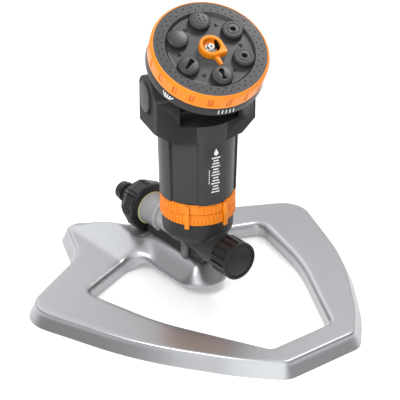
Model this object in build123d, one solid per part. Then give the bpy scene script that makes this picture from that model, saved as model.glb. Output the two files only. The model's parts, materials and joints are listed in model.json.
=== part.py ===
"""Turbine-driven rotary pattern sprinkler on an open cast sled base. Millimetres, +Z up."""

import os
from math import acos, atan2, cos, degrees, hypot, pi, radians, sin, tan

from build123d import *

# ---- Whole object -------------------------------------------------------------------------
# The riser axis is vertical. The hose comes in along +Y, the nose of the base points to -Y.
TURRET_Y = 13.5  # riser axis, forward or back of the middle of the base
TURRET_YAW = -16.0  # rest heading of the turret about the riser axis, degrees
HEAD_TILT = 30.5  # rest tilt of the dial's normal from the vertical, degrees
PIPE_Z = 44.0  # height of the hose pipe's axis
PIVOT_Z = 178.0  # height of the head's tilt axis

# ---- Fits ---------------------------------------------------------------------------------
RUN = 0.05  # radial clearance of a running fit
GAP = 0.3  # clearance between faces that pass each other

# ---- Base casting -------------------------------------------------------------------------
PLATE_TOP = 13.0
RIM_DRAFT = 5.0  # how far the rim flares out between its top and the ground
WALL = 3.2
SPINE_TOP = 26.0
SPINE_LIP = 8.0  # the spine's edge stays this far above the ground
SPINE_HALF = 23.0
SPINE_SLOPE = 11.5  # how far the spine narrows on each side between lip and top
SPINE_FRONT = -25.0
SPINE_BACK = 70.0
# The spine runs on as two sloped shoulders over the tail, down to its points.
SHOULDER_TOP = 21.5
SHOULDER_FOOT_HALF = [(43.0, 49.0, 1), (43.5, 127.0, 1)]
SHOULDER_CREST_HALF = [(13.0, 49.0, 1), (15.0, 98.0, 1)]
# Corners of the top edge, right-hand half, from nose to tail: (x, y, corner radius).
RIM_HALF = [
    (35.0, -155.5, 9),
    (60.5, -130.0, 205),
    (108.5, -63.0, 290),
    (147.0, 38.0, 24),
    (65.2, 81.0, 40),
    (44.5, 128.5, 6),
    (32.0, 128.5, 6),
]
TAIL_NOTCH = (0.0, 66.0, 14)
OPENING_HALF = [(30.5, -131.0, 6), (75.0, -45.0, 200), (93.5, 27.0, 9), (23.5, 54.5, 12)]

# ---- Manifold -----------------------------------------------------------------------------
PIPE_R = 11.5
NECK_R = 13.2
NECK_START, NECK_END = 43.0, 63.8
INLET_THREAD_R, INLET_END = 12.6, 76.0
OUTLET_R, OUTLET_START, OUTLET_STEP = 14.4, -14.0, -36.0
OUTLET_THREAD_R, OUTLET_END = 13.0, -48.0
WATERWAY_R = 8.0
CUP_R, CUP_RIM_Z = 29.3, 69.3
COLLAR_R, COLLAR_BORE_R, COLLAR_TOP = 27.8, 25.3, 87.7
HUB_R, HUB_TOP = 12.0, 86.9
FOOT_HALF, FOOT_FRONT, FOOT_BACK = 7.5, -14.0, 60.0
BOSS_R = 3.3
SCREW_SPOTS = [(-8.7, 5.5), (8.7, 5.5), (0.0, 48.0)]
SCREW_R = 1.75
SCREW_HEAD_R = 3.1

# ---- Arc-setting rings --------------------------------------------------------------------
RING_R = 30.5
LOWER_RING = (69.6, 78.9)
UPPER_RING = (79.2, 88.0)
TAB_AZIMUTHS = {"lower": 22.0, "upper": -38.0}  # from the turret's front, positive to its right
TAB_BOTTOM, TAB_OUT, TAB_WIDTH = 67.4, 33.2, 4.0

# ---- Riser and gear train -----------------------------------------------------------------
SPINDLE_R, SPINDLE_BORE, SPINDLE_TOP = 8.0, 5.5, 99.6
MODULE = 0.8
SUN_TEETH, PINION_TEETH, FIRST_WHEEL_TEETH, SECOND_WHEEL_TEETH = 30, 12, 22, 24
PIN_R = 1.5
GEAR_AZIMUTH = 60.0
SUN_Z, FIRST_WHEEL_Z, SECOND_WHEEL_Z = (95.0, 99.0), (100.2, 103.2), (104.2, 107.2)
GEAR_PLATE_Z = (108.4, 110.4)
STATOR_Z = (111.4, 112.9)
TURBINE_Z = (113.6, 119.6)
BRIDGE_Z = (121.4, 123.4)

# ---- Turret body --------------------------------------------------------------------------
BODY_BOTTOM, BODY_FOOT_R = 88.4, 31.2
BODY_TOP, BODY_TOP_R = 145.0, 32.6
CAVITY_R, CAVITY_TOP = 28.4, 140.0
COVER_TOP = 92.4
YOKE_HALF, YOKE_DEPTH = 43.6, 17.6
YOKE_SIDE_Z, YOKE_ROOT_Z, YOKE_ROOT_X = 152.6, 143.8, 29.1
SLOT_HALF, SLOT_FLOOR = 25.0, 159.2
FAIRING_Z = (166.0, 174.0)  # where the faces beside the slot start and end their slope
PIVOT_R, PIVOT_BORE = 7.0, 4.5
PANEL_DEPTH = 1.9
PANEL_SPAN = (21.0, 67.0)  # azimuths of each sunken panel, mirrored to four panels

# ---- Head and dial, in the head's frame: pivot at the origin, dial's normal along +Z ------
FACE = 51.8  # dial face above the pivot
FACE_R = 45.0
RECESS_DEPTH, RECESS_RIM, RECESS_FLOOR = 1.8, 36.0, 31.8
BEZEL_R, BEZEL_HEIGHT = 47.4, 14.0
SKIRT_R, SKIRT_DROP = 47.6, 22.3
NOTCHES = 20
NOZZLE_CIRCLE, NOZZLE_R, NOZZLE_RISE, NOZZLE_SHANK_R = 26.5, 8.6, 2.6, 7.0
FAN_TURN = 20.0  # turn of the fan nozzle's slot from the radius through it, degrees
DIAL_BACK = FACE - 6.0
BOWL_R, BOWL_RIM = 42.0, FACE - 8.0
BOWL_FLOOR = 19.6
BARREL_R, BARREL_HALF = 16.8, 24.6
POST_R = 6.0
HUB_OUT, HUB_BASE, HUB_RISE = 9.6, FACE - 1.55, 5.0

turret_place = Pos(0, TURRET_Y, 0) * Rot(0, 0, TURRET_YAW)
base_place = Pos(0, TURRET_Y, 0)
pipe_place = Pos(0, TURRET_Y, PIPE_Z) * Rot(-90, 0, 0)  # a part's +Z runs along the pipe to +Y
head_place = turret_place * Pos(0, 0, PIVOT_Z) * Rot(HEAD_TILT, 0, 0)


# ---- Shape helpers ------------------------------------------------------------------------
def turned(*points):
    """Solid of revolution about Z through (radius, height) points."""
    return revolve(Plane.XZ * make_face(Polyline(*points, close=True)), Axis.Z)


def rod(radius, low, high):
    return Pos(0, 0, low) * Cylinder(radius, high - low, align=(Align.CENTER, Align.CENTER, Align.MIN))


def tube(outer, inner, low, high):
    return rod(outer, low, high) - rod(inner, low - 1, high + 1)


def polar(radius, azimuth):
    """Point at an azimuth counted from the turret's front (-Y), positive to its right."""
    return (radius * sin(radians(azimuth)), -radius * cos(radians(azimuth)))


def around(shape, count, start=0.0):
    return [Rot(0, 0, start + 360 * i / count) * shape for i in range(count)]


def outset(corners, grow):
    """Closed counter-clockwise polygon with each edge moved out by grow and its radii to match."""
    moved = []
    count = len(corners)
    for i, (x, y, r) in enumerate(corners):
        before, after = corners[i - 1], corners[(i + 1) % count]
        into = Vector(x - before[0], y - before[1]).normalized()
        away = Vector(after[0] - x, after[1] - y).normalized()
        normal_in, normal_out = Vector(into.Y, -into.X), Vector(away.Y, -away.X)
        shift = (normal_in + normal_out) * (grow / (1 + normal_in.dot(normal_out)))
        turns_left = into.X * away.Y - into.Y * away.X > 0
        moved.append((x + shift.X, y + shift.Y, r + grow if turns_left else r - grow))
    return moved


def outline(corners, z):
    points = [(x, y) for x, y, r in corners]
    edge = FilletPolyline(*points, radius=[max(r, 0.5) for x, y, r in corners], close=True)
    return Pos(0, 0, z) * make_face(edge)


def frustum(corners, low, high, grow_low, grow_high):
    """Drafted solid between the same outline, outset by two amounts at two heights."""
    faces = [outline(outset(corners, grow_low), low), outline(outset(corners, grow_high), high)]
    return loft(faces, ruled=True)


def mirrored(half, middle=None):
    left = [(-x, y, r) for x, y, r in reversed(half)]
    return list(half) + ([middle] if middle else []) + left


def gear(teeth, low, high, phase=0.0):
    """Involute spur gear with a tooth centred on +X, shortened and thinned for free running."""
    pitch = MODULE * teeth / 2
    base = pitch * cos(radians(20))
    tip, root = pitch + 0.7 * MODULE, pitch - 1.0 * MODULE
    half_tooth = pi / (2 * teeth) - 0.06 / pitch
    pitch_roll = tan(radians(20)) - radians(20)

    def flank(radius):
        if radius <= base:
            return half_tooth + pitch_roll
        angle = acos(base / radius)
        return half_tooth + pitch_roll - (tan(angle) - angle)

    radii = [root, max(base, root + 0.01), (base + tip) / 2 + 0.1, tip]
    points = []
    for tooth in range(teeth):
        centre = 2 * pi * tooth / teeth + radians(phase)
        rising = [(r, centre - flank(r)) for r in radii]
        falling = [(r, centre + flank(r)) for r in reversed(radii)]
        points += [(r * cos(a), r * sin(a)) for r, a in rising + falling]
    return Pos(0, 0, low) * extrude(make_face(Polyline(*points, close=True)), high - low)


def coil(radius, wire, low, turns, pitch):
    """Helical spring standing on Z."""
    path = Helix(pitch, turns * pitch, radius)
    section = Plane(origin=path @ 0, z_dir=path % 0) * Circle(wire)
    return Pos(0, 0, low) * sweep(section, path)


def pan_screw(head_r, head_h, shank_r, length):
    """Screw with its head's underside at the origin, shank towards -Z."""
    head = turned((0, 0), (head_r, 0), (head_r, 0.45 * head_h), (0.75 * head_r, head_h), (0, head_h))
    slots = [Rot(0, 0, a) * Pos(0, 0, head_h) * Box(head_r, 0.7, head_h) for a in (0, 90)]
    return head - slots + rod(shank_r, -length, 0)


# ---- Base ---------------------------------------------------------------------------------
def base_frame():
    rim = mirrored(RIM_HALF, TAIL_NOTCH)
    opening = mirrored(OPENING_HALF)
    spine_half = [(SPINE_HALF, SPINE_FRONT, 21.5), (SPINE_HALF, SPINE_BACK, 16)]
    spine = mirrored(spine_half)
    window = extrude(outline(opening, -1), PLATE_TOP + 12)
    shell = frustum(rim, 0, PLATE_TOP, RIM_DRAFT, 0)
    shell = fillet(shell.faces().sort_by(Axis.Z)[-1].edges(), 2.4)
    shell -= window
    shell = fillet(shell.faces().sort_by(Axis.Z)[-1].inner_wires()[0].edges(), 3.5)
    inside = frustum(rim, -1, PLATE_TOP - WALL, RIM_DRAFT - WALL, -WALL)
    shell -= inside - extrude(outline(outset(opening, WALL), -2), PLATE_TOP + 4)
    crown = frustum(spine, SPINE_LIP, SPINE_TOP, 0, -SPINE_SLOPE)
    crown = fillet(crown.faces().sort_by(Axis.Z)[-1].edges(), 6.0)
    hollow = frustum(spine, SPINE_LIP - 0.01, SPINE_TOP - WALL, -WALL, -SPINE_SLOPE - 1.0)
    under = extrude(outline(outset(spine, -WALL), -1), SPINE_LIP + 1)
    shoulder = tail_shoulder(rim, 0, 0) - window
    shoulder -= tail_shoulder(rim, WALL, 4) - extrude(outline(outset(opening, WALL), -2), PLATE_TOP + 14)
    casting = shell + shoulder + crown - hollow - under
    for x, y in SCREW_SPOTS:
        screw_hole = rod(SCREW_R + 0.25, 20, 30) + rod(SCREW_HEAD_R + 0.2, 18, SPINE_TOP - WALL)
        casting -= Pos(x, y, 0) * screw_hole
    return casting


def tail_shoulder(rim, inset, below):
    """Sloped mass over the tail within the drafted rim, or its hollow when inset by the wall."""
    foot = mirrored([(x - inset, y, r) for x, y, r in SHOULDER_FOOT_HALF])
    crest = mirrored([(x - inset / 2, y - inset, r) for x, y, r in SHOULDER_CREST_HALF])
    step, top = PLATE_TOP - 0.1 - inset, SHOULDER_TOP - inset
    mass = loft([outline(foot, step), outline(crest, top)], ruled=True)
    mass += extrude(outline(foot, 1 - below), step - 1 + below)
    taper = RIM_DRAFT / PLATE_TOP
    low_grow, high_grow = RIM_DRAFT - inset + below * taper, RIM_DRAFT - inset - top * taper
    return mass & frustum(rim, -below, top, low_grow, high_grow)


def manifold():
    along = Pos(0, 0, PIPE_Z) * Rot(-90, 0, 0)
    pipe = rod(PIPE_R, 0, NECK_START + 1) + rod(NECK_R, NECK_START, NECK_END)
    pipe += rod(INLET_THREAD_R, NECK_END, INLET_END)
    pipe += rod(OUTLET_R, OUTLET_STEP, OUTLET_START) + rod(OUTLET_THREAD_R, OUTLET_END, OUTLET_STEP)
    pipe += rod(PIPE_R + 1.0, OUTLET_START, 6)
    cup_profile = Polyline((0, 46), (16, 46))
    cup_profile += ThreePointArc((16, 46), (25.6, 50.6), (CUP_R, 60))
    cup_profile += Polyline(
        (CUP_R, 60),
        (CUP_R, CUP_RIM_Z),
        (COLLAR_R, CUP_RIM_Z),
        (COLLAR_R, COLLAR_TOP),
        (COLLAR_BORE_R, COLLAR_TOP),
        (COLLAR_BORE_R, 64),
        (HUB_R, 64),
        (HUB_R, HUB_TOP),
        (0, HUB_TOP),
        (0, 46),
    )
    cup = revolve(Plane.XZ * make_face(cup_profile), Axis.Z)
    foot_box = Box(2 * FOOT_HALF, FOOT_BACK - FOOT_FRONT, 10, align=(Align.CENTER, Align.MIN, Align.MIN))
    foot = Pos(0, FOOT_FRONT, SPINE_TOP) * foot_box
    bosses = [Pos(x, y, 0) * rod(BOSS_R, SPINE_TOP, 47) for x, y in SCREW_SPOTS if x]
    body = along * pipe + cup + foot + bosses
    body -= along * rod(WATERWAY_R, OUTLET_END - 1, INLET_END + 1)
    body -= rod(SPINDLE_BORE, PIPE_Z, 52) + rod(SPINDLE_R, 50, HUB_TOP + 1)
    for x, y in SCREW_SPOTS:
        body -= Pos(x, y, 0) * rod(SCREW_R, SPINE_TOP - 1, SPINE_TOP + 8.5)
    return body


def base_screws():
    screw = Rot(180, 0, 0) * pan_screw(SCREW_HEAD_R, 2.2, SCREW_R, 11.5)
    return [Pos(x, y, SPINE_TOP - WALL) * screw for x, y in SCREW_SPOTS]


def arc_ring(span, azimuth):
    """Thumb ring with a trip tab that stands clear of the other ring."""
    low, high = span
    ring = tube(RING_R, COLLAR_R + RUN, low, high)
    ring += [Rot(0, 0, 4 * i) * Pos(RING_R, 0, low + 0.6) * _rib(high - low - 1.2) for i in range(90)]
    tab_size = (TAB_WIDTH, TAB_OUT - RING_R - 0.6, UPPER_RING[1] - TAB_BOTTOM)
    tab_box = Box(*tab_size, align=(Align.CENTER, Align.MAX, Align.MIN))
    x, y = polar(RING_R + 0.6, azimuth)
    tab = Pos(x, y, TAB_BOTTOM) * Rot(0, 0, azimuth) * tab_box
    root_box = Box(TAB_WIDTH, 2.0, high - low, align=(Align.CENTER, Align.CENTER, Align.MIN))
    root = Pos(x, y, low) * Rot(0, 0, azimuth) * root_box
    return ring + tab + root


def _rib(height):
    return Box(0.5, 1.1, height, align=(Align.CENTER, Align.CENTER, Align.MIN))


def riser_spindle():
    return tube(SPINDLE_R, SPINDLE_BORE, 50, SPINDLE_TOP)


# ---- Hose side ----------------------------------------------------------------------------
def hose_connector():
    """Swivel coupling with a click-fit nipple, turned about the pipe."""
    outer = turned(
        (0, 62.5),
        (21.2, 62.5),
        (21.7, 63.2),
        (21.7, 65.4),
        (20.7, 66.0),
        (20.7, 77.0),
        (18.4, 82.0),
        (9.6, 83.5),
        (9.6, 85.0),
        (8.2, 85.0),
        (8.2, 90.5),
        (8.75, 90.5),
        (8.75, 92.0),
        (6.8, 92.6),
        (6.8, 96.5),
        (8.75, 97.2),
        (8.75, 101.2),
        (6.7, 101.5),
        (6.7, 103.3),
        (7.9, 103.5),
        (7.9, 105.0),
        (7.3, 105.6),
        (0, 105.6),
    )
    groove = Pos(21.6, 0, 66.6) * Cylinder(1.5, 16.5, align=(Align.CENTER, Align.CENTER, Align.MIN))
    outer -= around(groove, 14)
    bore = turned(
        (0, 62),
        (15.3, 62),
        (15.3, 66.2),
        (INLET_THREAD_R + RUN, 66.2),
        (INLET_THREAD_R + RUN, 79.0),
        (5.2, 82.0),
        (5.2, 106),
        (0, 106),
    )
    return outer - bore


def inlet_filter():
    grid = range(-9, 10, 3)
    holes = [Pos(x, y, 0) * rod(0.8, 76, 78) for x in grid for y in grid if x * x + y * y < 95]
    return rod(12.4, 76.2, 76.9) - holes


def end_cap():
    face, rim = -54.6, OUTLET_STEP - GAP
    cap = rod(16.1, face, rim)
    cap = chamfer(cap.edges().filter_by(GeomType.CIRCLE).sort_by(Axis.Z)[0], 0.7)
    cap -= rod(13.4, face - 1, face + 0.5)
    cap -= tube(13.9, 13.1, face - 1, face + 0.9)
    groove = Pos(16.6, 0, face + 2.6) * Box(2.6, 2.0, 30, align=(Align.CENTER, Align.CENTER, Align.MIN))
    cap -= around(groove, 16)
    return cap - rod(OUTLET_THREAD_R + RUN, face + 4.6, rim + 1)


# ---- Turret -------------------------------------------------------------------------------
def panel_cutter(start, end):
    """Sunken panel between two azimuths, following the body's taper."""
    skin = turned(
        (BODY_FOOT_R - PANEL_DEPTH, BODY_BOTTOM - 1),
        (40, BODY_BOTTOM - 1),
        (40, BODY_TOP),
        (BODY_TOP_R - PANEL_DEPTH, BODY_TOP),
    )
    wedge_points = [(0, 0), polar(70, start), polar(70, (start + end) / 2), polar(70, end)]
    wedge = Pos(0, 0, BODY_BOTTOM - 2) * extrude(make_face(Polyline(*wedge_points, close=True)), 80)
    return skin & wedge


def yoke_block():
    """Both arms as one block with sloped shoulders below and rounded tops."""
    front = make_face(
        Polyline(
            (-YOKE_HALF, YOKE_SIDE_Z),
            (-YOKE_ROOT_X, YOKE_ROOT_Z),
            (YOKE_ROOT_X, YOKE_ROOT_Z),
            (YOKE_HALF, YOKE_SIDE_Z),
            (YOKE_HALF, 200),
            (-YOKE_HALF, 200),
            close=True,
        )
    )
    block = extrude(Plane.XZ * front, YOKE_DEPTH, both=True)
    block = fillet(block.edges().filter_by(Axis.Z), 2.5)
    side_box = Box(100, 2 * YOKE_DEPTH, PIVOT_Z - 140, align=(Align.CENTER, Align.CENTER, Align.MIN))
    side = Pos(0, 0, 140) * side_box + Pos(0, 0, PIVOT_Z) * Rot(0, 90, 0) * Cylinder(YOKE_DEPTH, 100)
    return (block & side) + (yoke_fairing() & extrude(Plane.XZ * front, 40, both=True))


def yoke_fairing():
    """Flat faces from the arms' front and back corners, tangent to the body, sloped back at the top."""
    corner = YOKE_HALF - 2.5
    touch = atan2(YOKE_DEPTH, corner) + acos(BODY_TOP_R / hypot(corner, YOKE_DEPTH))
    touch_x = BODY_TOP_R * cos(touch)
    touch_y = BODY_TOP_R * sin(touch)
    plan = make_face(
        Polyline(
            (-corner, -YOKE_DEPTH),
            (-touch_x, -touch_y),
            (touch_x, -touch_y),
            (corner, -YOKE_DEPTH),
            (corner, YOKE_DEPTH),
            (touch_x, touch_y),
            (-touch_x, touch_y),
            (-corner, YOKE_DEPTH),
            close=True,
        )
    )
    slope = make_face(
        Polyline(
            (-32, 140),
            (32, 140),
            (32, FAIRING_Z[0]),
            (YOKE_DEPTH, FAIRING_Z[1]),
            (-YOKE_DEPTH, FAIRING_Z[1]),
            (-32, FAIRING_Z[0]),
            close=True,
        )
    )
    return Pos(0, 0, 140) * extrude(plan, 40) & extrude(Plane.YZ * slope, 50, both=True)


def body_shell():
    skin = turned(
        (0, BODY_BOTTOM),
        (BODY_FOOT_R, BODY_BOTTOM),
        (BODY_TOP_R, BODY_TOP),
        (BODY_TOP_R, SLOT_FLOOR),
        (0, SLOT_FLOOR),
    )
    low, high = PANEL_SPAN
    for start, end in ((low, high), (-high, -low), (180 - high, 180 - low), (180 + low, 180 + high)):
        skin -= panel_cutter(start, end)
    shell = skin + yoke_block()
    slot_box = Box(2 * SLOT_HALF, 80, 60, align=(Align.CENTER, Align.CENTER, Align.MIN))
    shell -= Pos(0, 0, SLOT_FLOOR) * slot_box
    shell -= rod(CAVITY_R, BODY_BOTTOM - 1, CAVITY_TOP)
    waterway = rod(6.0, CAVITY_TOP - 1, 150) + Pos(0, 0, 150) * Rot(0, 90, 0) * Cylinder(4.0, 68)
    for side in (-1, 1):
        waterway += Pos(34 * side, 0, 0) * rod(4.0, 150, PIVOT_Z)
        waterway += Pos(34.5 * side, 0, PIVOT_Z) * Rot(0, 90, 0) * Cylinder(PIVOT_R, 20)
    return shell - waterway


def bottom_cover():
    cover = tube(CAVITY_R, SPINDLE_R + RUN + 0.01, BODY_BOTTOM, COVER_TOP)
    cover -= tube(SPINDLE_R + 1.66, SPINDLE_R - 1, 89.6, 91.2)
    for x, y in gear_spots().values():
        cover -= Pos(x, y, 0) * rod(PIN_R, 90.4, COVER_TOP + 1)
    cover -= Pos(*polar(14, 0), 0) * rod(PIN_R, 90.4, COVER_TOP + 1)
    slot_wedge = [(0, 0), polar(60, -16), polar(60, 16)]
    window = tube(26.4, 22.6, BODY_BOTTOM - 1, COVER_TOP + 1)
    cover -= window & extrude(make_face(Polyline(*slot_wedge, close=True)), 120)
    for x, y in cover_screw_spots():
        cover -= Pos(x, y, 0) * rod(1.1, BODY_BOTTOM - 1, COVER_TOP + 1)
    return cover


def cover_screw_spots():
    return [polar(25.6, a) for a in (90, 180, 270)]


def cover_screws():
    screw = Pos(0, 0, COVER_TOP) * pan_screw(2.0, 1.3, 1.1, COVER_TOP - BODY_BOTTOM)
    return [Pos(x, y, 0) * screw for x, y in cover_screw_spots()]


# ---- Gear train ---------------------------------------------------------------------------
def gear_spots():
    """Axes of the two compound gears, from their centre distances to the riser and each other."""
    to_first = MODULE * (SUN_TEETH + PINION_TEETH) / 2
    to_second = MODULE * (SECOND_WHEEL_TEETH + PINION_TEETH) / 2
    between = MODULE * (FIRST_WHEEL_TEETH + PINION_TEETH) / 2
    corner = (to_first**2 + to_second**2 - between**2) / (2 * to_first * to_second)
    second_angle = GEAR_AZIMUTH + degrees(acos(corner))
    first = (to_first * cos(radians(GEAR_AZIMUTH)), to_first * sin(radians(GEAR_AZIMUTH)))
    second = (to_second * cos(radians(second_angle)), to_second * sin(radians(second_angle)))
    return {"first": first, "second": second}


def heading(start, end):
    """Direction from one axis to another, degrees from +X."""
    return degrees(atan2(end[1] - start[1], end[0] - start[0]))


def sun_gear():
    first = gear_spots()["first"]
    return gear(SUN_TEETH, *SUN_Z, phase=heading((0, 0), first)) - rod(SPINDLE_R, 90, 105)


def compound_gear(spot, pinion, pinion_to, wheel, wheel_teeth, wheel_to):
    """Pinion and wheel in one piece: the pinion shows a gap, the wheel a tooth, to its mate."""
    pinion_phase = heading(spot, pinion_to) + 180 / PINION_TEETH
    shape = gear(PINION_TEETH, pinion[0], pinion[1], pinion_phase)
    shape += gear(wheel_teeth, wheel[0], wheel[1], heading(spot, wheel_to))
    shape += rod(3.4, pinion[0], wheel[1])
    return Pos(*spot, 0) * (shape - rod(PIN_R + RUN, 80, 130))


def first_gear():
    spots = gear_spots()
    return compound_gear(spots["first"], SUN_Z, (0, 0), FIRST_WHEEL_Z, FIRST_WHEEL_TEETH, spots["second"])


def second_gear():
    spots = gear_spots()
    second, first = spots["second"], spots["first"]
    return compound_gear(second, FIRST_WHEEL_Z, first, SECOND_WHEEL_Z, SECOND_WHEEL_TEETH, (0, 0))


def turbine_pinion():
    phase = heading((0, 0), gear_spots()["second"]) + 180 / PINION_TEETH
    return gear(PINION_TEETH, *SECOND_WHEEL_Z, phase=phase) - rod(PIN_R, 100, 110)


def gear_pins():
    return [Pos(*spot, 0) * rod(PIN_R, 90.4, GEAR_PLATE_Z[1]) for spot in gear_spots().values()]


def gear_plate():
    plate = rod(CAVITY_R, *GEAR_PLATE_Z)
    for spot in gear_spots().values():
        plate -= Pos(*spot, 0) * rod(PIN_R, 100, 115)
    plate -= rod(PIN_R + RUN, 100, 115)
    ports = [Pos(*polar(20, a), 0) * rod(4.5, 100, 115) for a in (-75, -37.5, 0, 37.5, 75)]
    return plate - ports


def stator_plate():
    plate = tube(CAVITY_R, 4.0, *STATOR_Z)
    slot = Pos(16, 0, STATOR_Z[0]) * Rot(0, 0, 25) * Box(16, 3.2, 6)
    return plate - around(slot, 9)


def turbine_wheel():
    hub = rod(5.0, *TURBINE_Z)
    rim = tube(24.0, 22.4, TURBINE_Z[0] + 1.0, TURBINE_Z[1] - 1.0)
    blade_middle = (TURBINE_Z[0] + TURBINE_Z[1]) / 2
    blade = Pos(13.8, 0, blade_middle) * Rot(40, 0, 0) * Box(18.4, 1.2, 6.6)
    band = tube(23.2, 4.0, *TURBINE_Z)
    return hub + rim + [b & band for b in around(blade, 12)] - rod(PIN_R, 100, 130)


def turbine_bridge():
    ring = tube(CAVITY_R, 25.0, *BRIDGE_Z)
    spoke = Box(26.5, 4.0, BRIDGE_Z[1] - BRIDGE_Z[0], align=(Align.MIN, Align.CENTER, Align.MIN))
    arms = [Rot(0, 0, a) * Pos(0, 0, BRIDGE_Z[0]) * spoke for a in (30, 150, 270)]
    return ring + arms + rod(4.5, *BRIDGE_Z) - rod(PIN_R + RUN, 110, 130)


def trip_lever():
    low, high = COVER_TOP + 0.1, SUN_Z[0] - 0.3
    arm = Pos(0, 0, low) * Box(4.0, 13.0, high - low, align=(Align.CENTER, Align.MAX, Align.MIN))
    foot = Pos(0, -9.2, 88.8) * Box(3.2, 3.0, 5.0, align=(Align.CENTER, Align.MAX, Align.MIN))
    lever = arm + foot + rod(3.0, low, high)
    return Pos(*polar(14, 0), 0) * (lever - rod(PIN_R + RUN, 85, 100))


def trip_pin():
    return Pos(*polar(14, 0), 0) * rod(PIN_R, 90.4, SUN_Z[0] - GAP)


def trip_spring():
    """Bow of spring wire held between two posts above the lever."""
    bow = ThreePointArc((-10, -17, 97), (0, -25.5, 97), (10, -17, 97))
    return sweep(Plane(origin=bow @ 0, z_dir=bow % 0) * Circle(0.5), bow)


def spring_posts():
    return [Pos(x, -17 + 1.7, 0) * rod(1.2, COVER_TOP, 98.0) for x in (-10.6, 10.6)]


# ---- Head joint ---------------------------------------------------------------------------
def pivot_pin(side):
    pin = rod(PIVOT_R, 10.4, 41.2) - rod(PIVOT_BORE, 9, 42)
    pin -= tube(PIVOT_R + 1, 5.4, 17.1, 18.9)
    pin -= Pos(0, 0, 34) * Rot(90, 0, 0) * Cylinder(3.6, 30)
    return Pos(0, 0, PIVOT_Z) * Rot(0, 90 * side, 0) * Rot(0, 0, 90) * pin


def pivot_seals():
    seal = Torus(6.2, 0.78)
    return [Pos(18.0 * side, 0, PIVOT_Z) * Rot(0, 90, 0) * seal for side in (-1, 1)]


def pivot_cap(side):
    """Oval cap that closes the end of the pivot bore."""
    oval = SlotCenterToCenter(5.0, 20.6)
    cap = extrude(oval, 2.3)
    cap = fillet(cap.faces().sort_by(Axis.Z)[-1].edges(), 0.8)
    cap = Rot(0, 0, 90) * cap + Pos(0, -2.0, 0) * rod(PIVOT_R - RUN, -2.2, 0)
    return Pos(YOKE_HALF * side, 0, PIVOT_Z + 2.0) * _face_out(side) * cap


def _face_out(side):
    """Turns a part so that its +Z faces outwards and its +Y stays up."""
    plane = Plane(origin=(0, 0, 0), x_dir=(0, side, 0), z_dir=(side, 0, 0))
    return plane.location


# ---- Head ---------------------------------------------------------------------------------
def bowl_housing():
    dish = turned(
        (0, BOWL_FLOOR),
        (31, BOWL_FLOOR),
        (BOWL_R - 1, 27),
        (BOWL_R, 29),
        (BOWL_R, BOWL_RIM),
        (0, BOWL_RIM),
    )
    barrel = Rot(0, 90, 0) * Cylinder(BARREL_R, 2 * BARREL_HALF)
    neck = Box(2 * BARREL_HALF, 2 * BARREL_R, BOWL_FLOOR + 1, align=(Align.CENTER, Align.CENTER, Align.MIN))
    bowl = dish + barrel + neck
    bowl -= turned(
        (0, BOWL_FLOOR + 2.5),
        (29.5, BOWL_FLOOR + 2.5),
        (BOWL_R - 3.5, 28.5),
        (BOWL_R - 2.5, 30),
        (BOWL_R - 2.5, BOWL_RIM - 3.0),
        (0, BOWL_RIM - 3.0),
    )
    bowl -= rod(BOWL_R - 1.6, BOWL_RIM - 3.1, BOWL_RIM + 1)
    bowl -= rod(7.0, 0, BOWL_FLOOR + 3)
    bowl -= Rot(0, 90, 0) * Cylinder(PIVOT_R + RUN, 2 * BARREL_HALF + 2)
    return bowl


def bowl_lid():
    lid = rod(BOWL_R - 1.6, BOWL_RIM - 3.0, BOWL_RIM)
    lid += rod(POST_R, BOWL_RIM - 8.0, HUB_BASE)
    lid += Pos(34, 0, 0) * rod(3.0, BOWL_RIM - 7.0, BOWL_RIM)
    lid -= Pos(34, 0, 0) * rod(1.5, BOWL_RIM - 5.6, BOWL_RIM + 1)
    port = rod(7.6, BOWL_RIM - 2.0, BOWL_RIM + 1) + rod(5.0, BOWL_RIM - 4, BOWL_RIM)
    lid -= Pos(0, -NOZZLE_CIRCLE, 0) * port
    lid -= rod(SCREW_R, BOWL_RIM - 7.4, HUB_BASE + 1)
    for x, y in lid_screw_spots():
        lid -= Pos(x, y, 0) * rod(1.1, BOWL_RIM - 4, BOWL_RIM + 1)
    return lid


def lid_screw_spots():
    return [polar(37.0, a) for a in (45, 135, 225, 315)]


def lid_screws():
    screw = Pos(0, 0, BOWL_RIM) * pan_screw(2.0, 1.2, 1.1, 6.0)
    return [Pos(x, y, 0) * screw for x, y in lid_screw_spots()]


def port_seal():
    return Pos(0, -NOZZLE_CIRCLE, 0) * tube(7.4, 4.6, BOWL_RIM - 1.0, DIAL_BACK - 0.1)


def port_spring():
    return Pos(0, -NOZZLE_CIRCLE, 0) * Pos(0, 0, BOWL_RIM - 1.5) * Torus(6.4, 0.4)


def detent_ball():
    return Pos(34, 0, DIAL_BACK - 1.5) * Sphere(1.4)


def detent_spring():
    return Pos(34, 0, 0) * coil(0.95, 0.25, BOWL_RIM - 5.3, 4, 1.05)


def pointer_hub():
    """Cup-shaped pointer with a square corner and a needle towards the selected nozzle."""
    hub = rod(HUB_OUT, HUB_BASE, FACE + HUB_RISE)
    corner = Box(HUB_OUT, HUB_OUT, HUB_RISE + 1.55, align=(Align.MIN, Align.MIN, Align.MIN))
    hub += Rot(0, 0, -83) * Pos(0, 0, HUB_BASE) * corner
    hub = fillet(hub.faces().sort_by(Axis.Z)[-1].edges(), 0.7)
    needle_face = make_face(Polyline((8.6, -1.9), (17.2, -0.6), (17.2, 0.6), (8.6, 1.9), close=True))
    hub += Rot(0, 0, -80) * Pos(0, 0, HUB_BASE) * extrude(needle_face, 4.0)
    hub -= rod(6.9, FACE + 0.5, FACE + 10)
    hub -= Rot(0, 0, 20) * Pos(7.2, 0, FACE + 3.4) * Box(2.2, 1.6, 5.8)
    return hub - rod(SCREW_R, HUB_BASE - 1, FACE + 1)


def centre_screw():
    return Pos(0, 0, FACE + 1.0) * pan_screw(3.3, 2.2, SCREW_R, 16.0)


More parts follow.
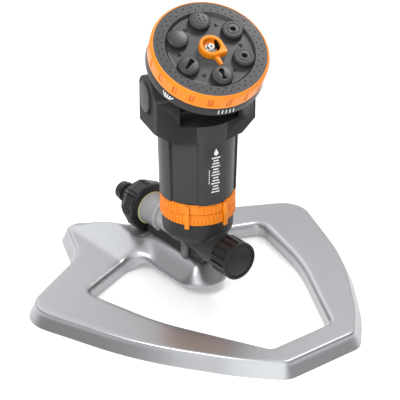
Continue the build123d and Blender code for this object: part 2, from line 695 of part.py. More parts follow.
def screw_washer():
    return tube(4.2, SCREW_R, FACE + 0.5, FACE + 1.0)


# ---- Dial ---------------------------------------------------------------------------------
def nozzle_spots():
    names = ("star_nozzle", "jet_nozzle", "shower_nozzle", "mist_nozzle", "fan_nozzle", "vertical_nozzle")
    return {name: -30.0 + 60.0 * i for i, name in enumerate(names)}


def face_plate():
    plate = turned(
        (POST_R + 0.1, DIAL_BACK),
        (43.0, DIAL_BACK),
        (43.0, FACE - 3.0),
        (FACE_R, FACE - 3.0),
        (FACE_R, FACE),
        (RECESS_RIM, FACE),
        (RECESS_FLOOR, FACE - RECESS_DEPTH),
        (POST_R + 0.1, FACE - RECESS_DEPTH),
    )
    for angle in nozzle_spots().values():
        seat = rod(NOZZLE_SHANK_R, DIAL_BACK - 1, FACE + 1) + rod(NOZZLE_R, FACE - RECESS_DEPTH, FACE + 1)
        plate -= Rot(0, 0, angle) * Pos(NOZZLE_CIRCLE, 0, 0) * seat
    return plate


def nozzle_blank():
    """Round insert, centred on its own axis, with a domed edge."""
    head = rod(NOZZLE_R, FACE - RECESS_DEPTH, FACE + NOZZLE_RISE)
    head = fillet(head.faces().sort_by(Axis.Z)[-1].edges(), 1.3)
    return head + rod(NOZZLE_SHANK_R, DIAL_BACK, FACE) - rod(4.6, DIAL_BACK - 1, FACE + 0.6)


def star_cut():
    points = []
    for i in range(12):
        radius = 3.1 if i % 2 == 0 else 1.8
        points.append((radius * cos(pi * i / 6), radius * sin(pi * i / 6)))
    return extrude(make_face(Polyline(*points, close=True)), 80)


def nozzle_cut(name):
    """Orifice of each nozzle, in its own frame with +X pointing away from the dial's centre."""
    if name == "star_nozzle":
        return star_cut()
    if name == "jet_nozzle":
        return rod(2.15, 0, 80)
    if name == "shower_nozzle":
        return [Pos(4.0 * cos(i * pi / 3), 4.0 * sin(i * pi / 3), 0) * rod(0.5, 0, 80) for i in range(6)]
    if name == "mist_nozzle":
        return rod(0.35, 0, 80)
    if name == "fan_nozzle":
        wedge = Polyline((-4.6, -1.8), (4.6, -0.4), (4.6, 0.4), (-4.6, 1.8), close=True)
        return Rot(0, 0, FAN_TURN) * extrude(make_face(wedge), 80)
    keyhole = Pos(-2.6, 0, 0) * rod(2.0, 0, 80) + Pos(1.0, 0, 40) * Box(7.0, 1.7, 80)
    return keyhole + Pos(3.6, 0, 40) * Box(1.8, 3.2, 80)


def nozzle(name, angle):
    insert = nozzle_blank() - nozzle_cut(name)
    return Rot(0, 0, angle) * Pos(NOZZLE_CIRCLE, 0, 0) * insert


def bezel_ring():
    ring = turned(
        (FACE_R, FACE - BEZEL_HEIGHT),
        (BEZEL_R, FACE - BEZEL_HEIGHT),
        (BEZEL_R, FACE - 2.0),
        (FACE_R + 0.5, FACE + 0.3),
        (FACE_R, FACE + 0.1),
    )
    notch = Pos(BEZEL_R, 0, FACE - 8.2) * Box(2.4, 4.4, 7.6)
    return ring - around(notch, NOTCHES)


def dial_skirt():
    top, step, bottom = FACE - 3.05, FACE - BEZEL_HEIGHT - 0.05, FACE - SKIRT_DROP
    return turned(
        (43.05, top),
        (FACE_R - 0.05, top),
        (FACE_R - 0.05, step),
        (BEZEL_R - 0.4, step),
        (SKIRT_R, bottom),
        (SKIRT_R - 2.2, bottom),
        (SKIRT_R - 2.4, step - 1.6),
        (43.05, step - 1.6),
    )


def placed(place, pieces):
    """One solid, or several identical ones that share a node, moved to where they belong."""
    if isinstance(pieces, list):
        return Compound(children=[place * piece for piece in pieces])
    return place * pieces


# ---- Nodes: what is made, and the frame it is made in -------------------------------------
base_nodes = {
    "base_frame": base_frame(),
    "manifold": manifold(),
    "base_screws": base_screws(),
    "riser_spindle": riser_spindle(),
    "lower_arc_ring": Rot(0, 0, TURRET_YAW) * arc_ring(LOWER_RING, TAB_AZIMUTHS["lower"]),
    "upper_arc_ring": Rot(0, 0, TURRET_YAW) * arc_ring(UPPER_RING, TAB_AZIMUTHS["upper"]),
    "sun_gear": Rot(0, 0, TURRET_YAW) * sun_gear(),
    "lower_thrust_washer": tube(11.8, SPINDLE_R + 0.1, HUB_TOP + 0.05, BODY_BOTTOM - 0.05),
    "upper_thrust_washer": tube(10.2, SPINDLE_R + 0.1, COVER_TOP + 0.05, SUN_Z[0] - 0.05),
}
pipe_nodes = {
    "hose_connector": hose_connector(),
    "connector_washer": tube(12.4, 6.5, 77.0, 78.8),
    "inlet_filter": inlet_filter(),
    "neck_ring": tube(15.2, NECK_R, NECK_END - 2.4, NECK_END),
    "nipple_seal": Pos(0, 0, 102.4) * Torus(7.55, 0.8),
    "end_cap": end_cap(),
    "cap_washer": tube(12.9, 8.0, -49.9, OUTLET_END - 0.05),
}
turret_nodes = {
    "body_shell": body_shell(),
    "bottom_cover": bottom_cover(),
    "cover_screws": cover_screws(),
    "spindle_seal": Pos(0, 0, 90.4) * Torus(SPINDLE_R + 0.86, 0.76),
    "gear_pins": gear_pins(),
    "gear_plate": gear_plate(),
    "stator_plate": stator_plate(),
    "turbine_bridge": turbine_bridge(),
    "first_gear": first_gear(),
    "second_gear": second_gear(),
    "turbine_pinion": turbine_pinion(),
    "turbine_shaft": rod(PIN_R, 104.2, 124.0),
    "turbine_wheel": turbine_wheel(),
    "trip_lever": trip_lever(),
    "trip_pin": trip_pin(),
    "trip_spring": trip_spring(),
    "spring_posts": spring_posts(),
    "pivot_pin_left": pivot_pin(-1),
    "pivot_pin_right": pivot_pin(1),
    "pivot_seals": pivot_seals(),
    "pivot_cap_left": pivot_cap(-1),
    "pivot_cap_right": pivot_cap(1),
}
head_nodes = {
    "bowl_housing": bowl_housing(),
    "bowl_lid": bowl_lid(),
    "lid_screws": lid_screws(),
    "port_seal": port_seal(),
    "port_spring": port_spring(),
    "detent_ball": detent_ball(),
    "detent_spring": detent_spring(),
    "pointer_hub": pointer_hub(),
    "screw_washer": screw_washer(),
    "centre_screw": centre_screw(),
    "face_plate": face_plate(),
    "bezel_ring": bezel_ring(),
    "dial_skirt": dial_skirt(),
}
for nozzle_name, nozzle_angle in nozzle_spots().items():
    head_nodes[nozzle_name] = nozzle(nozzle_name, nozzle_angle)

os.makedirs("parts", exist_ok=True)
for place, nodes in (
    (base_place, base_nodes),
    (pipe_place, pipe_nodes),
    (turret_place, turret_nodes),
    (head_place, head_nodes),
):
    for name, shape in nodes.items():
        export_step(placed(place, shape), os.path.join("parts", name + ".step"))
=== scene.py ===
import json
import math
import bmesh
import bpy
from mathutils import Matrix, Vector
from mathutils.geometry import delaunay_2d_cdt
from mathutils.kdtree import KDTree


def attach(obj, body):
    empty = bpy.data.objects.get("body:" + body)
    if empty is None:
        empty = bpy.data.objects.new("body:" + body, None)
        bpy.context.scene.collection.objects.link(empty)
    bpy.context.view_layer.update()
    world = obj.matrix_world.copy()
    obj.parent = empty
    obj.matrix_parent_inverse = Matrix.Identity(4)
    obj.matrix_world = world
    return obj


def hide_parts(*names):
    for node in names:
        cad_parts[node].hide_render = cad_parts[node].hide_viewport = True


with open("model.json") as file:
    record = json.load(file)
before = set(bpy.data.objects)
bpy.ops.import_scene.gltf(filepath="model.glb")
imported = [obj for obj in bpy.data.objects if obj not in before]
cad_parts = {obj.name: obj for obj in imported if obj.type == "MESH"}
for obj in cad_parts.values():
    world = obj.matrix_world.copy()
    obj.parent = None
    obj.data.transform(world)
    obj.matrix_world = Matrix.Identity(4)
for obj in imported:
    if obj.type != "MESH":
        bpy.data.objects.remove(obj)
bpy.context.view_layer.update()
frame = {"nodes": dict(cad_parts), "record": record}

record = frame["record"]
joints = {joint["name"]: joint for joint in record["behaviour"]["joints"]}
slot_of = {part["node"]: part["material_slot"] for part in record["subparts"]}
body_of = {node: body for body, nodes in record["behaviour"]["bodies"].items() for node in nodes}
MM = Matrix.Scale(0.001, 4)


def axes(x_axis, z_axis, origin):
    """Matrix whose X and Z point along the two directions, at the origin given in metres."""
    x, z = Vector(x_axis).normalized(), Vector(z_axis).normalized()
    y = z.cross(x)
    return Matrix.Translation(Vector(origin)) @ Matrix((x, y, z)).transposed().to_4x4() @ MM


yaw_at = Vector(joints["turret_yaw"]["pos_m"])
riser = Vector((yaw_at.x, yaw_at.y, 0))
tilt_axis = joints["head_tilt"]["axis"]
dial_axis = joints["dial_turn"]["axis"]
BASE = Matrix.Translation(riser) @ MM
TURRET = axes(tilt_axis, (0, 0, 1), riser)
HEAD = axes(tilt_axis, dial_axis, joints["head_tilt"]["pos_m"])
PIPE = axes((1, 0, 0), (0, 1, 0), (riser.x, riser.y, joints["inlet_swivel"]["pos_m"][2]))


# ---- Mesh helpers, all in millimetres of a local frame --------------------------------------
SIDE_SHARE = 0.49  # of a side's length, the most that the arc at either end takes up
STRAIGHT = 1e-3  # radians; a corner this close to straight gets no arc
ON_AXIS = 1e-6  # a profile point closer to the axis than this is one vertex
WELD, COLLAPSE = 0.002, 0.0005  # vertices closer than the first are joined, shorter edges dissolved


def soften(points, steps=4, closed=False):
    """Rounds the corners of a path of (a, b, radius) points into short arcs."""
    out = []
    count = len(points)
    for i, (x, y, r) in enumerate(points):
        here = Vector((x, y))
        if r <= 0 or (not closed and i in (0, count - 1)):
            out.append(here)
            continue
        before, after = Vector(points[i - 1][:2]), Vector(points[(i + 1) % count][:2])
        u, v = (before - here).normalized(), (after - here).normalized()
        half = math.acos(max(-1.0, min(1.0, u.dot(v)))) / 2
        if half > math.pi / 2 - STRAIGHT:
            out.append(here)
            continue
        room = SIDE_SHARE * min((before - here).length, (after - here).length)
        reach = min(r / math.tan(half), room)
        radius = reach * math.tan(half)
        middle = here + (u + v).normalized() * (radius / math.sin(half))
        start, end = here + u * reach, here + v * reach
        a0 = math.atan2(*(start - middle).yx)
        turn = (math.atan2(*(end - middle).yx) - a0 + math.pi) % (2 * math.pi) - math.pi
        for k in range(steps + 1):
            a = a0 + turn * k / steps
            out.append(middle + radius * Vector((math.cos(a), math.sin(a))))
    return [(p.x, p.y) for p in out]


def circle(radius, count=48, x=0.0, y=0.0):
    """Closed ring of points about (x, y)."""
    step = 2 * math.pi / count
    return [(x + radius * math.cos(i * step), y + radius * math.sin(i * step)) for i in range(count)]


class Shape:
    """Vertices and faces that grow part by part, in one local frame."""

    def __init__(self):
        self.verts, self.faces = [], []

    def add(self, verts, faces, matrix=None):
        """Adds vertices, moved by the matrix, and the faces that index them."""
        first = len(self.verts)
        self.verts += [tuple(matrix @ Vector(v)) if matrix else tuple(v) for v in verts]
        self.faces += [tuple(first + i for i in face) for face in faces]
        return self

    def turned(self, profile, angles=128, bump=None, matrix=None):
        """Revolves (radius, height) points about Z, at an even count of angles or at those listed.

        bump(row, angle) is added to the radius there.
        """
        ring = [2 * math.pi * i / angles for i in range(angles)] if isinstance(angles, int) else angles
        verts, faces, rows = [], [], []
        for row, (r, z) in enumerate(profile):
            if r < ON_AXIS:
                rows.append([len(verts)] * len(ring))
                verts.append((0, 0, z))
                continue
            rows.append(list(range(len(verts), len(verts) + len(ring))))
            for a in ring:
                radius = r + (bump(row, a) if bump else 0.0)
                verts.append((radius * math.cos(a), radius * math.sin(a), z))
        count = len(ring)
        for low, high in zip(rows, rows[1:]):
            for i in range(count):
                j = (i + 1) % count
                face = [low[i], low[j], high[j], high[i]]
                face = [v for k, v in enumerate(face) if v != face[k - 1]]
                if len(face) > 2:
                    faces.append(face)
        return self.add(verts, faces, matrix)

    def plate(self, loops, low, high, bevel=0.3, matrix=None, steps=2):
        """Flat plate between two heights, rounded at its edges; a loop inside another is a hole in it."""
        curve = bpy.data.curves.new("outline", "CURVE")
        curve.dimensions, curve.fill_mode = "2D", "BOTH"
        curve.extrude = (high - low) / 2 - bevel
        curve.bevel_depth, curve.bevel_resolution, curve.offset = bevel, steps, -bevel
        for loop in loops:
            spline = curve.splines.new("POLY")
            spline.points.add(len(loop) - 1)
            for point, (x, y) in zip(spline.points, loop):
                point.co = (x, y, 0, 1)
            spline.use_cyclic_u = True
        holder = bpy.data.objects.new("outline", curve)
        bpy.context.scene.collection.objects.link(holder)
        mesh = evaluated(holder)
        verts = [(v.co.x, v.co.y, v.co.z + (low + high) / 2) for v in mesh.vertices]
        self.add(verts, [tuple(p.vertices) for p in mesh.polygons], matrix)
        bpy.data.objects.remove(holder)
        bpy.data.curves.remove(curve)
        bpy.data.meshes.remove(mesh)
        return self


def evaluated(obj):
    """The object's mesh with its modifiers or curve settings applied."""
    return bpy.data.meshes.new_from_object(obj.evaluated_get(bpy.context.evaluated_depsgraph_get()))


def finish_piece(name, mesh, node, finish, angle, extra=False):
    """Links a finished mesh as a piece on its node's body, in place of the node unless it is an extra.

    angle is the turn between two faces, in degrees, from which their shading breaks.
    """
    obj = bpy.data.objects.new(name, mesh)
    bpy.context.scene.collection.objects.link(obj)
    mesh.polygons.foreach_set("use_smooth", [True] * len(mesh.polygons))
    mesh.set_sharp_from_angle(angle=math.radians(angle))
    mesh.materials.clear()
    mesh.materials.append(MATERIALS[finish])
    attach(obj, body_of[node])
    if not extra:
        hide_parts(node)


def make(name, shape, matrix, node, finish=None, extra=False, angle=38):
    """Turns a shape into a piece that replaces its CAD node or, as an extra, is added to it."""
    mesh = bpy.data.meshes.new(name)
    mesh.from_pydata(shape.verts, [], shape.faces)
    work = bmesh.new()
    work.from_mesh(mesh)
    bmesh.ops.remove_doubles(work, verts=work.verts, dist=WELD)
    bmesh.ops.dissolve_degenerate(work, dist=COLLAPSE, edges=work.edges)
    bmesh.ops.recalc_face_normals(work, faces=work.faces)
    work.to_mesh(mesh)
    work.free()
    mesh.transform(matrix)
    finish_piece(name, mesh, node, finish or slot_of[node], angle, extra)


def cad_copy(node, matrix, gap):
    """The node's mesh in the local frame, and a bmesh of it with vertices closer than the gap joined."""
    mesh = frame["nodes"][node].data.copy()
    mesh.transform(matrix.inverted())
    work = bmesh.new()
    work.from_mesh(mesh)
    bmesh.ops.remove_doubles(work, verts=work.verts, dist=gap)
    return mesh, work


def recast(name, node, voxel, passes, keep, matrix):
    """The node's solid with every edge rounded over, as a moulding has them, keeping a share of the faces."""
    mesh, work = cad_copy(node, matrix, 0.001)
    work.to_mesh(mesh)
    work.free()
    obj = bpy.data.objects.new("work", mesh)
    bpy.context.scene.collection.objects.link(obj)
    remesh = obj.modifiers.new("remesh", "REMESH")
    remesh.mode, remesh.voxel_size, remesh.adaptivity = "VOXEL", voxel, 0.0
    smooth = obj.modifiers.new("smooth", "SMOOTH")
    smooth.factor, smooth.iterations = 0.5, passes
    thin = obj.modifiers.new("thin", "DECIMATE")
    thin.ratio = keep
    final = evaluated(obj)
    bpy.data.objects.remove(obj)
    final.transform(matrix)
    final.name = name
    finish_piece(name, final, node, slot_of[node], 60)


def bevelled(name, node, width, matrix, shift):
    """The node's solid with each sharp edge cut back, and true round normals on its cylinder and cones.

    shift(point) may move a corner before the edges are cut.
    """
    flat_turn, sharp_turn, nearly_radial = 0.01, 0.5, 0.985
    mesh, work = cad_copy(node, matrix, 0.004)
    bmesh.ops.dissolve_limit(work, angle_limit=flat_turn, verts=work.verts, edges=work.edges)
    for v in work.verts:
        shift(v.co)
    sharp = [e for e in work.edges if len(e.link_faces) == 2 and e.calc_face_angle(0) > sharp_turn]
    bmesh.ops.bevel(
        work, geom=sharp, offset=width, segments=2, profile=0.5, affect="EDGES", clamp_overlap=True
    )
    bmesh.ops.recalc_face_normals(work, faces=work.faces)
    work.to_mesh(mesh)
    work.free()
    mesh.name = name
    finish_piece(name, mesh, node, slot_of[node], 35)
    normals = [n.vector.copy() for n in mesh.corner_normals]
    for face in mesh.polygons:
        spots = [mesh.vertices[mesh.loops[loop].vertex_index].co for loop in face.loop_indices]
        outward = [Vector((at.x, at.y, 0)).normalized() for at in spots]
        if min(face.normal.dot(way) for way in outward) > nearly_radial:
            for loop, way in zip(face.loop_indices, outward):
                normals[loop] = way
    mesh.normals_split_custom_set(normals)
    mesh.transform(matrix)


# ---- Materials ------------------------------------------------------------------------------
PATCH_MM, MOTTLE_MM = 28.0, 9.0  # size of the patches of gloss and of colour
RUB_FROM, RUB_FULL = 0.52, 0.62  # pointiness at which an edge starts to look rubbed, and is fully so
MOST_TINT, COAT_ROUGH, GRAIN_STRENGTH = 0.07, 0.12, 0.6


def material(name, color, rough, metal=0.0, grain=0.4, depth=0.03, vary=0.06, wear=0.0, coat=0.0, shine=0.5):
    """Moulded or painted surface: fine grain, patchy gloss and colour, and edges rubbed lighter.

    grain and depth are the grain's size and height in millimetres, vary spreads roughness and colour,
    wear lightens the edges, and shine is the specular level.
    """
    mat = bpy.data.materials.new(name)
    mat.use_nodes = True
    nodes, links = mat.node_tree.nodes, mat.node_tree.links
    shader = nodes["Principled BSDF"]
    shader.inputs["Metallic"].default_value = metal
    shader.inputs["Specular IOR Level"].default_value = shine
    if coat:
        shader.inputs["Coat Weight"].default_value = coat
        shader.inputs["Coat Roughness"].default_value = COAT_ROUGH
    where = nodes.new("ShaderNodeTexCoord").outputs["Object"]

    def noise_of(size_mm, detail=3.0):
        node = nodes.new("ShaderNodeTexNoise")
        node.inputs["Scale"].default_value = 1000.0 / size_mm
        node.inputs["Detail"].default_value = detail
        links.new(where, node.inputs["Vector"])
        return node.outputs["Fac"]

    def remap(value, low, high, from_low=0.3, from_high=0.7):
        node = nodes.new("ShaderNodeMapRange")
        node.inputs["From Min"].default_value = from_low
        node.inputs["From Max"].default_value = from_high
        node.inputs["To Min"].default_value = low
        node.inputs["To Max"].default_value = high
        links.new(value, node.inputs["Value"])
        return node.outputs["Result"]

    links.new(remap(noise_of(PATCH_MM), rough - vary, rough + vary), shader.inputs["Roughness"])
    tint = nodes.new("ShaderNodeMix")
    tint.data_type = "RGBA"
    spread = min(MOST_TINT, vary)
    tint.inputs["A"].default_value = (*[c * (1 - spread) for c in color], 1)
    tint.inputs["B"].default_value = (*[min(1.0, c * (1 + spread)) for c in color], 1)
    links.new(remap(noise_of(MOTTLE_MM, 5.0), 0, 1), tint.inputs["Factor"])
    result = tint.outputs["Result"]
    if wear:
        rub = nodes.new("ShaderNodeMix")
        rub.data_type = "RGBA"
        rub.inputs["B"].default_value = (*[min(1.0, c + wear) for c in color], 1)
        edge = nodes.new("ShaderNodeNewGeometry").outputs["Pointiness"]
        links.new(remap(edge, 0.0, 0.6, RUB_FROM, RUB_FULL), rub.inputs["Factor"])
        links.new(result, rub.inputs["A"])
        result = rub.outputs["Result"]
    links.new(result, shader.inputs["Base Color"])
    bump = nodes.new("ShaderNodeBump")
    bump.inputs["Strength"].default_value = GRAIN_STRENGTH
    bump.inputs["Distance"].default_value = depth * 0.001
    links.new(noise_of(grain, 2.0), bump.inputs["Height"])
    links.new(bump.outputs["Normal"], shader.inputs["Normal"])
    return mat


MATERIALS = {
    "cast_metal": material(
        "silver_paint", (0.46, 0.47, 0.486), 0.34, metal=0.88, grain=0.25, depth=0.006, vary=0.015
    ),
    "dark_plastic": material(
        "dark_plastic", (0.034, 0.034, 0.0345), 0.34, grain=0.45, depth=0.02, vary=0.04, wear=0.02, shine=0.22
    ),
    "black_plastic": material(
        "black_plastic", (0.014, 0.014, 0.015), 0.34, grain=0.45, depth=0.025, vary=0.05, wear=0.03, shine=0.3
    ),
    "face_plastic": material(
        "face_plastic", (0.032, 0.032, 0.034), 0.36, grain=0.4, depth=0.025, vary=0.05, wear=0.02
    ),
    "orange_plastic": material(
        "orange_plastic", (0.9, 0.262, 0.009), 0.32, grain=0.5, depth=0.02, vary=0.05, wear=0.02, shine=0.32
    ),
    "pale_washer": material("pale_washer", (0.62, 0.6, 0.3), 0.6, grain=0.6, depth=0.04),
    "seal_rubber": material("seal_rubber", (0.02, 0.02, 0.02), 0.55, grain=0.5),
    "acetal": material("acetal", (0.78, 0.77, 0.72), 0.42, grain=0.6, depth=0.02),
    "steel": material(
        "bright_steel", (0.42, 0.41, 0.4), 0.24, metal=1.0, grain=0.3, depth=0.01, vary=0.05, wear=0.05
    ),
    # Darker orange for the notches' floors: painted shade.
    "orange_painted_shade": material("orange_painted_shade", (0.8, 0.2, 0.009), 0.42, grain=0.5, depth=0.02),
    # Light grey where the pipe's neck is dark plastic: a painted sheen.
    "neck_painted_sheen": material(
        "neck_painted_sheen", (0.34, 0.34, 0.35), 0.22, grain=0.5, depth=0.01, vary=0.04, coat=0.5
    ),
    # Lighter than the manifold's dark plastic: a painted sheen on the screw posts.
    "post_painted_sheen": material(
        "post_painted_sheen", (0.11, 0.11, 0.115), 0.24, grain=0.5, depth=0.01, vary=0.04, coat=0.5
    ),
    # Near-black for the insides of holes and slits: painted shade.
    "painted_hole_shade": material("painted_hole_shade", (0.006, 0.006, 0.006), 0.8, grain=0.5, depth=0.02, shine=0.05),
    "white_print": material("white_print", (0.8, 0.8, 0.8), 0.5, grain=0.3, depth=0.01),
}
for node_name, node_obj in frame["nodes"].items():
    node_obj.data.materials.clear()
    node_obj.data.materials.append(MATERIALS[slot_of[node_name]])


# ---- Base, as (x, y) with the riser as origin and +Y towards the hose ------------------------
def smoothstep(x, low, high):
    """0 below low, 1 above high, and a smooth rise between."""
    t = max(0.0, min(1.0, (x - low) / (high - low)))
    return t * t * (3 - 2 * t)


def mirrored(half, middle=()):
    """The half outline, the middle points and the half's mirror image across x = 0."""
    return list(half) + list(middle) + [(-x, y, r) for x, y, r in reversed(half)]


# Corners of the rim's top edge and of the window with the tongue in it: (x, y, corner radius).
RIM = mirrored(
    [
        (35.0, -155.5, 9),
        (60.5, -130.0, 205),
        (108.5, -63.0, 290),
        (147.0, 38.0, 24),
        (65.2, 81.0, 40),
        (44.5, 128.5, 6),
        (32.0, 128.5, 6),
    ],
    [(0.0, 66.0, 14)],
)
WINDOW = mirrored(
    [
        (30.5, -131.0, 6),
        (75.0, -45.0, 200),
        (93.5, 27.0, 9),
        (23.0, 54.5, 13),
        (23.0, -25.0, 21.5),
    ]
)
# The rim's lean out towards the ground, the rolled edges' radii, the wall, and the tongue's lift.
RIM_DRAFT, RIM_ROLL, SHELL = 5.0, 2.6, 3.2
WINDOW_ROLL, TONGUE_ROLL, TONGUE_LIP = 5.0, 3.6, 8.0
# The casting's top: heights, then how far its spine and its shoulders reach and over what distance they fall.
PLATE_TOP, TONGUE_DROP, SPINE_TOP, SPINE_STEP = 13.0, 1.0, 26.0, 4.3
SPINE_HALF, SPINE_NEAR, SPINE_FAR, SPINE_FALL = 8.5, -10.5, 58.0, 15.0
SHOULDER_RISE, SHOULDER_HALF, SHOULDER_FALL, TAIL_END, TAIL_FALL = 9.0, 44.0, 30.0, 128.0, 32.0
VALLEY = 5.0  # difference of height over which spine and shoulders blend
PATH_GAP, TOP_GAP, UNDER_GAP = 2.0, 3.0, 4.5  # spacing of the points along a rim and over the two decks


def evenly(points, gap):
    """A closed path resampled at even steps, with the unit normal on its left at each point."""
    lengths = [math.dist(a, b) for a, b in zip(points, points[1:] + points[:1])]
    total = sum(lengths)
    count = round(total / gap)
    out, i, gone = [], 0, 0.0
    for k in range(count):
        want = total * k / count
        while gone + lengths[i] < want:
            gone += lengths[i]
            i += 1
        t = (want - gone) / lengths[i]
        a, b = points[i], points[(i + 1) % len(points)]
        out.append((a[0] + t * (b[0] - a[0]), a[1] + t * (b[1] - a[1])))
    normals = []
    for k in range(count):
        a, b = out[k - 1], out[(k + 1) % count]
        size = math.dist(a, b)
        normals.append(((a[1] - b[1]) / size, (b[0] - a[0]) / size))
    return out, normals


def tongue(x, y):
    """1 on the tongue that reaches into the window, 0 on the plate around it."""
    return (1 - smoothstep(abs(x), 25, 36)) * (1 - smoothstep(y, 40, 58)) if y > -45 else 0.0


def eased(t):
    """A straight ramp from 0 to 1 with short rounded ends."""
    t = max(0.0, min(1.0, t))
    return 0.55 * t + 0.45 * smoothstep(t, 0, 1)


def crown(x, y):
    """Height of the casting's top: a flat plate, the spine under the pipe and the tail's shoulders."""
    away = math.hypot(max(abs(x) - SPINE_HALF, 0), max(SPINE_NEAR - y, 0, y - SPINE_FAR))
    low = PLATE_TOP - TONGUE_DROP * tongue(x, y)
    spine = (SPINE_TOP - low) * (1 - smoothstep(away, 0, SPINE_FALL))
    across, along = (SHOULDER_HALF - abs(x)) / SHOULDER_FALL, (TAIL_END - y) / TAIL_FALL
    shoulder = SHOULDER_RISE * min(eased(across), eased(along))
    shoulder *= smoothstep(y, 24, 54)
    blend = max(0.0, VALLEY - abs(spine - shoulder)) ** 2 / (4 * VALLEY)
    raised = max(spine, shoulder) + blend * min(1, min(spine, shoulder) / 3)
    return min(low + raised, SPINE_TOP - SPINE_STEP * smoothstep(y, 54.5, 62))


def under(depth):
    """Height function a depth below the casting's top."""
    return lambda x, y: crown(x, y) - depth


def inside(point, loop):
    """Whether a point lies inside a closed loop."""
    x, y = point
    found = False
    for (ax, ay), (bx, by) in zip(loop, loop[1:] + loop[:1]):
        if (ay > y) != (by > y) and x < (bx - ax) * (y - ay) / (by - ay) + ax:
            found = not found
    return found


def skirt(shape, path, normals, rows):
    """Quads down the rows of (offset, height function) along a closed path; returns its end loops."""
    count = len(path)
    first = len(shape.verts)
    loops = []
    for offset, height in rows:
        loop = [(x + nx * offset, y + ny * offset) for (x, y), (nx, ny) in zip(path, normals)]
        loops.append(loop)
        shape.verts += [(x, y, height(x, y)) for x, y in loop]
    for row in range(len(rows) - 1):
        for i in range(count):
            j = (i + 1) % count
            a, b = first + row * count, first + (row + 1) * count
            shape.faces.append((a + i, a + j, b + j, b + i))
    return loops[0], loops[-1]


def deck(shape, outer, window, height, gap):
    """Triangulated surface between two loops, at the given height over each point."""
    clearance, half_side, extra_rows = 0.6 * gap, 150.0, 12
    points = [Vector(p) for p in outer + window]
    tree = KDTree(len(points))
    for i, p in enumerate(points):
        tree.insert((p.x, p.y, 0), i)
    tree.balance()
    steps = int(half_side / gap)
    for i in range(-steps, steps + 1):
        for j in range(-steps - extra_rows, steps + 1):
            p = (i * gap + (gap / 2 if j % 2 else 0), j * gap)
            if tree.find((*p, 0))[2] > clearance and inside(p, outer) and not inside(p, window):
                points.append(Vector(p))
    n, m = len(outer), len(window)
    edges = [(i, (i + 1) % n) for i in range(n)] + [(n + i, n + (i + 1) % m) for i in range(m)]
    verts, _, faces, *_ = delaunay_2d_cdt(points, edges, [], 0, 1e-5)
    kept = []
    for face in faces:
        middle = sum((verts[i] for i in face), Vector((0, 0))) / len(face)
        if inside(middle, outer) and not inside(middle, window):
            kept.append(tuple(face))
    shape.add([(v.x, v.y, height(v.x, v.y)) for v in verts], kept)


def base():
    """Sled casting: a drafted shell with a rolled rim, a window, a tongue and a two-pointed tail."""
    shape = Shape()
    quarter = [math.radians(15 * k) for k in range(7)]
    path, normals = evenly(soften(RIM, 8, True), PATH_GAP)
    rows = [(RIM_ROLL * (1 - math.sin(a)), under(RIM_ROLL * (1 - math.cos(a)))) for a in quarter]
    for t in (0.25, 0.5, 0.75, 0.93):
        rows.append((-RIM_DRAFT * t, lambda x, y, t=t: (crown(x, y) - RIM_ROLL) * (1 - t)))
    rows += [
        (-RIM_DRAFT + 0.1, lambda x, y: 0.25),
        (-RIM_DRAFT + 0.6, lambda x, y: 0.0),
        (-RIM_DRAFT + SHELL - 0.4, lambda x, y: 0.0),
        (-RIM_DRAFT + SHELL, lambda x, y: 0.4),
        (SHELL - 0.4, under(SHELL + 2.0)),
        (SHELL + 1.6, under(SHELL)),
    ]
    top_rim, low_rim = skirt(shape, path, normals, rows)

    def lip(rise):
        """Height function that much above the window's lower edge, which the tongue lifts."""
        return lambda x, y: TONGUE_LIP * tongue(x, y) + rise

    def edge(share):
        """Height function of the window's rolled edge, a share of the roll's radius below the top."""

        def height(x, y):
            roll = WINDOW_ROLL - (WINDOW_ROLL - TONGUE_ROLL) * tongue(x, y)
            return max(crown(x, y) - roll * share, lip(0.7)(x, y))

        return height

    path, normals = evenly(soften(WINDOW, 8, True), PATH_GAP)
    rows = [(-WINDOW_ROLL * (1 - math.sin(a)), edge(1 - math.cos(a))) for a in quarter]
    for t in (0.35, 0.7):
        rows.append((0, lambda x, y, t=t: edge(1)(x, y) * (1 - t) + lip(0.4)(x, y) * t))
    rows += [
        (-0.1, lip(0.15)),
        (-0.5, lip(0.0)),
        (-2.6, lip(0.0)),
        (-SHELL, lip(0.5)),
        (-SHELL - 2.0, lambda x, y: max(under(SHELL + 4.0)(x, y), lip(0.9)(x, y))),
        (-SHELL - 5.2, under(SHELL)),
    ]
    top_window, low_window = skirt(shape, path, normals, rows)
    deck(shape, top_rim, top_window, crown, TOP_GAP)
    deck(shape, low_rim, low_window, under(SHELL), UNDER_GAP)
    make("base_casting", shape, BASE, "base_frame", angle=50)


# ---- Hose side, as (radius, place along the pipe) --------------------------------------------
NUT_SIDES, NUT_RADIUS = 8, 20.9
CAP_RADIUS, CAP_GROOVES, CAP_GROOVE_WIDTH, CAP_GROOVE_DEPTH = 16.1, 16, 7.0, 1.35
NECK_RADIUS, NECK_COLLAR, NECK_MOUTH = 11.75, 13.8, 13.9


def groove_angles(count, width, edge, fill):
    """Angles with close pairs at both edges of each of the evenly spaced grooves, in radians."""
    out = []
    for k in range(count):
        middle = 360 * k / count
        out += [middle - width / 2 - edge, middle - width / 2 + edge, middle, middle + width / 2 - edge]
        out.append(middle + width / 2 + edge)
        gap = 360 / count - width - 2 * edge
        out += [middle + width / 2 + edge + gap * i / fill for i in range(1, fill)]
    return [math.radians(a) for a in sorted(a % 360 for a in out)]


def in_groove(angle, count, width):
    """Whether an angle in radians falls in one of the evenly spaced grooves, width in degrees."""
    pitch = 360 / count
    off = (math.degrees(angle) + pitch / 2) % pitch - pitch / 2
    return abs(off) < width / 2 + 1e-6


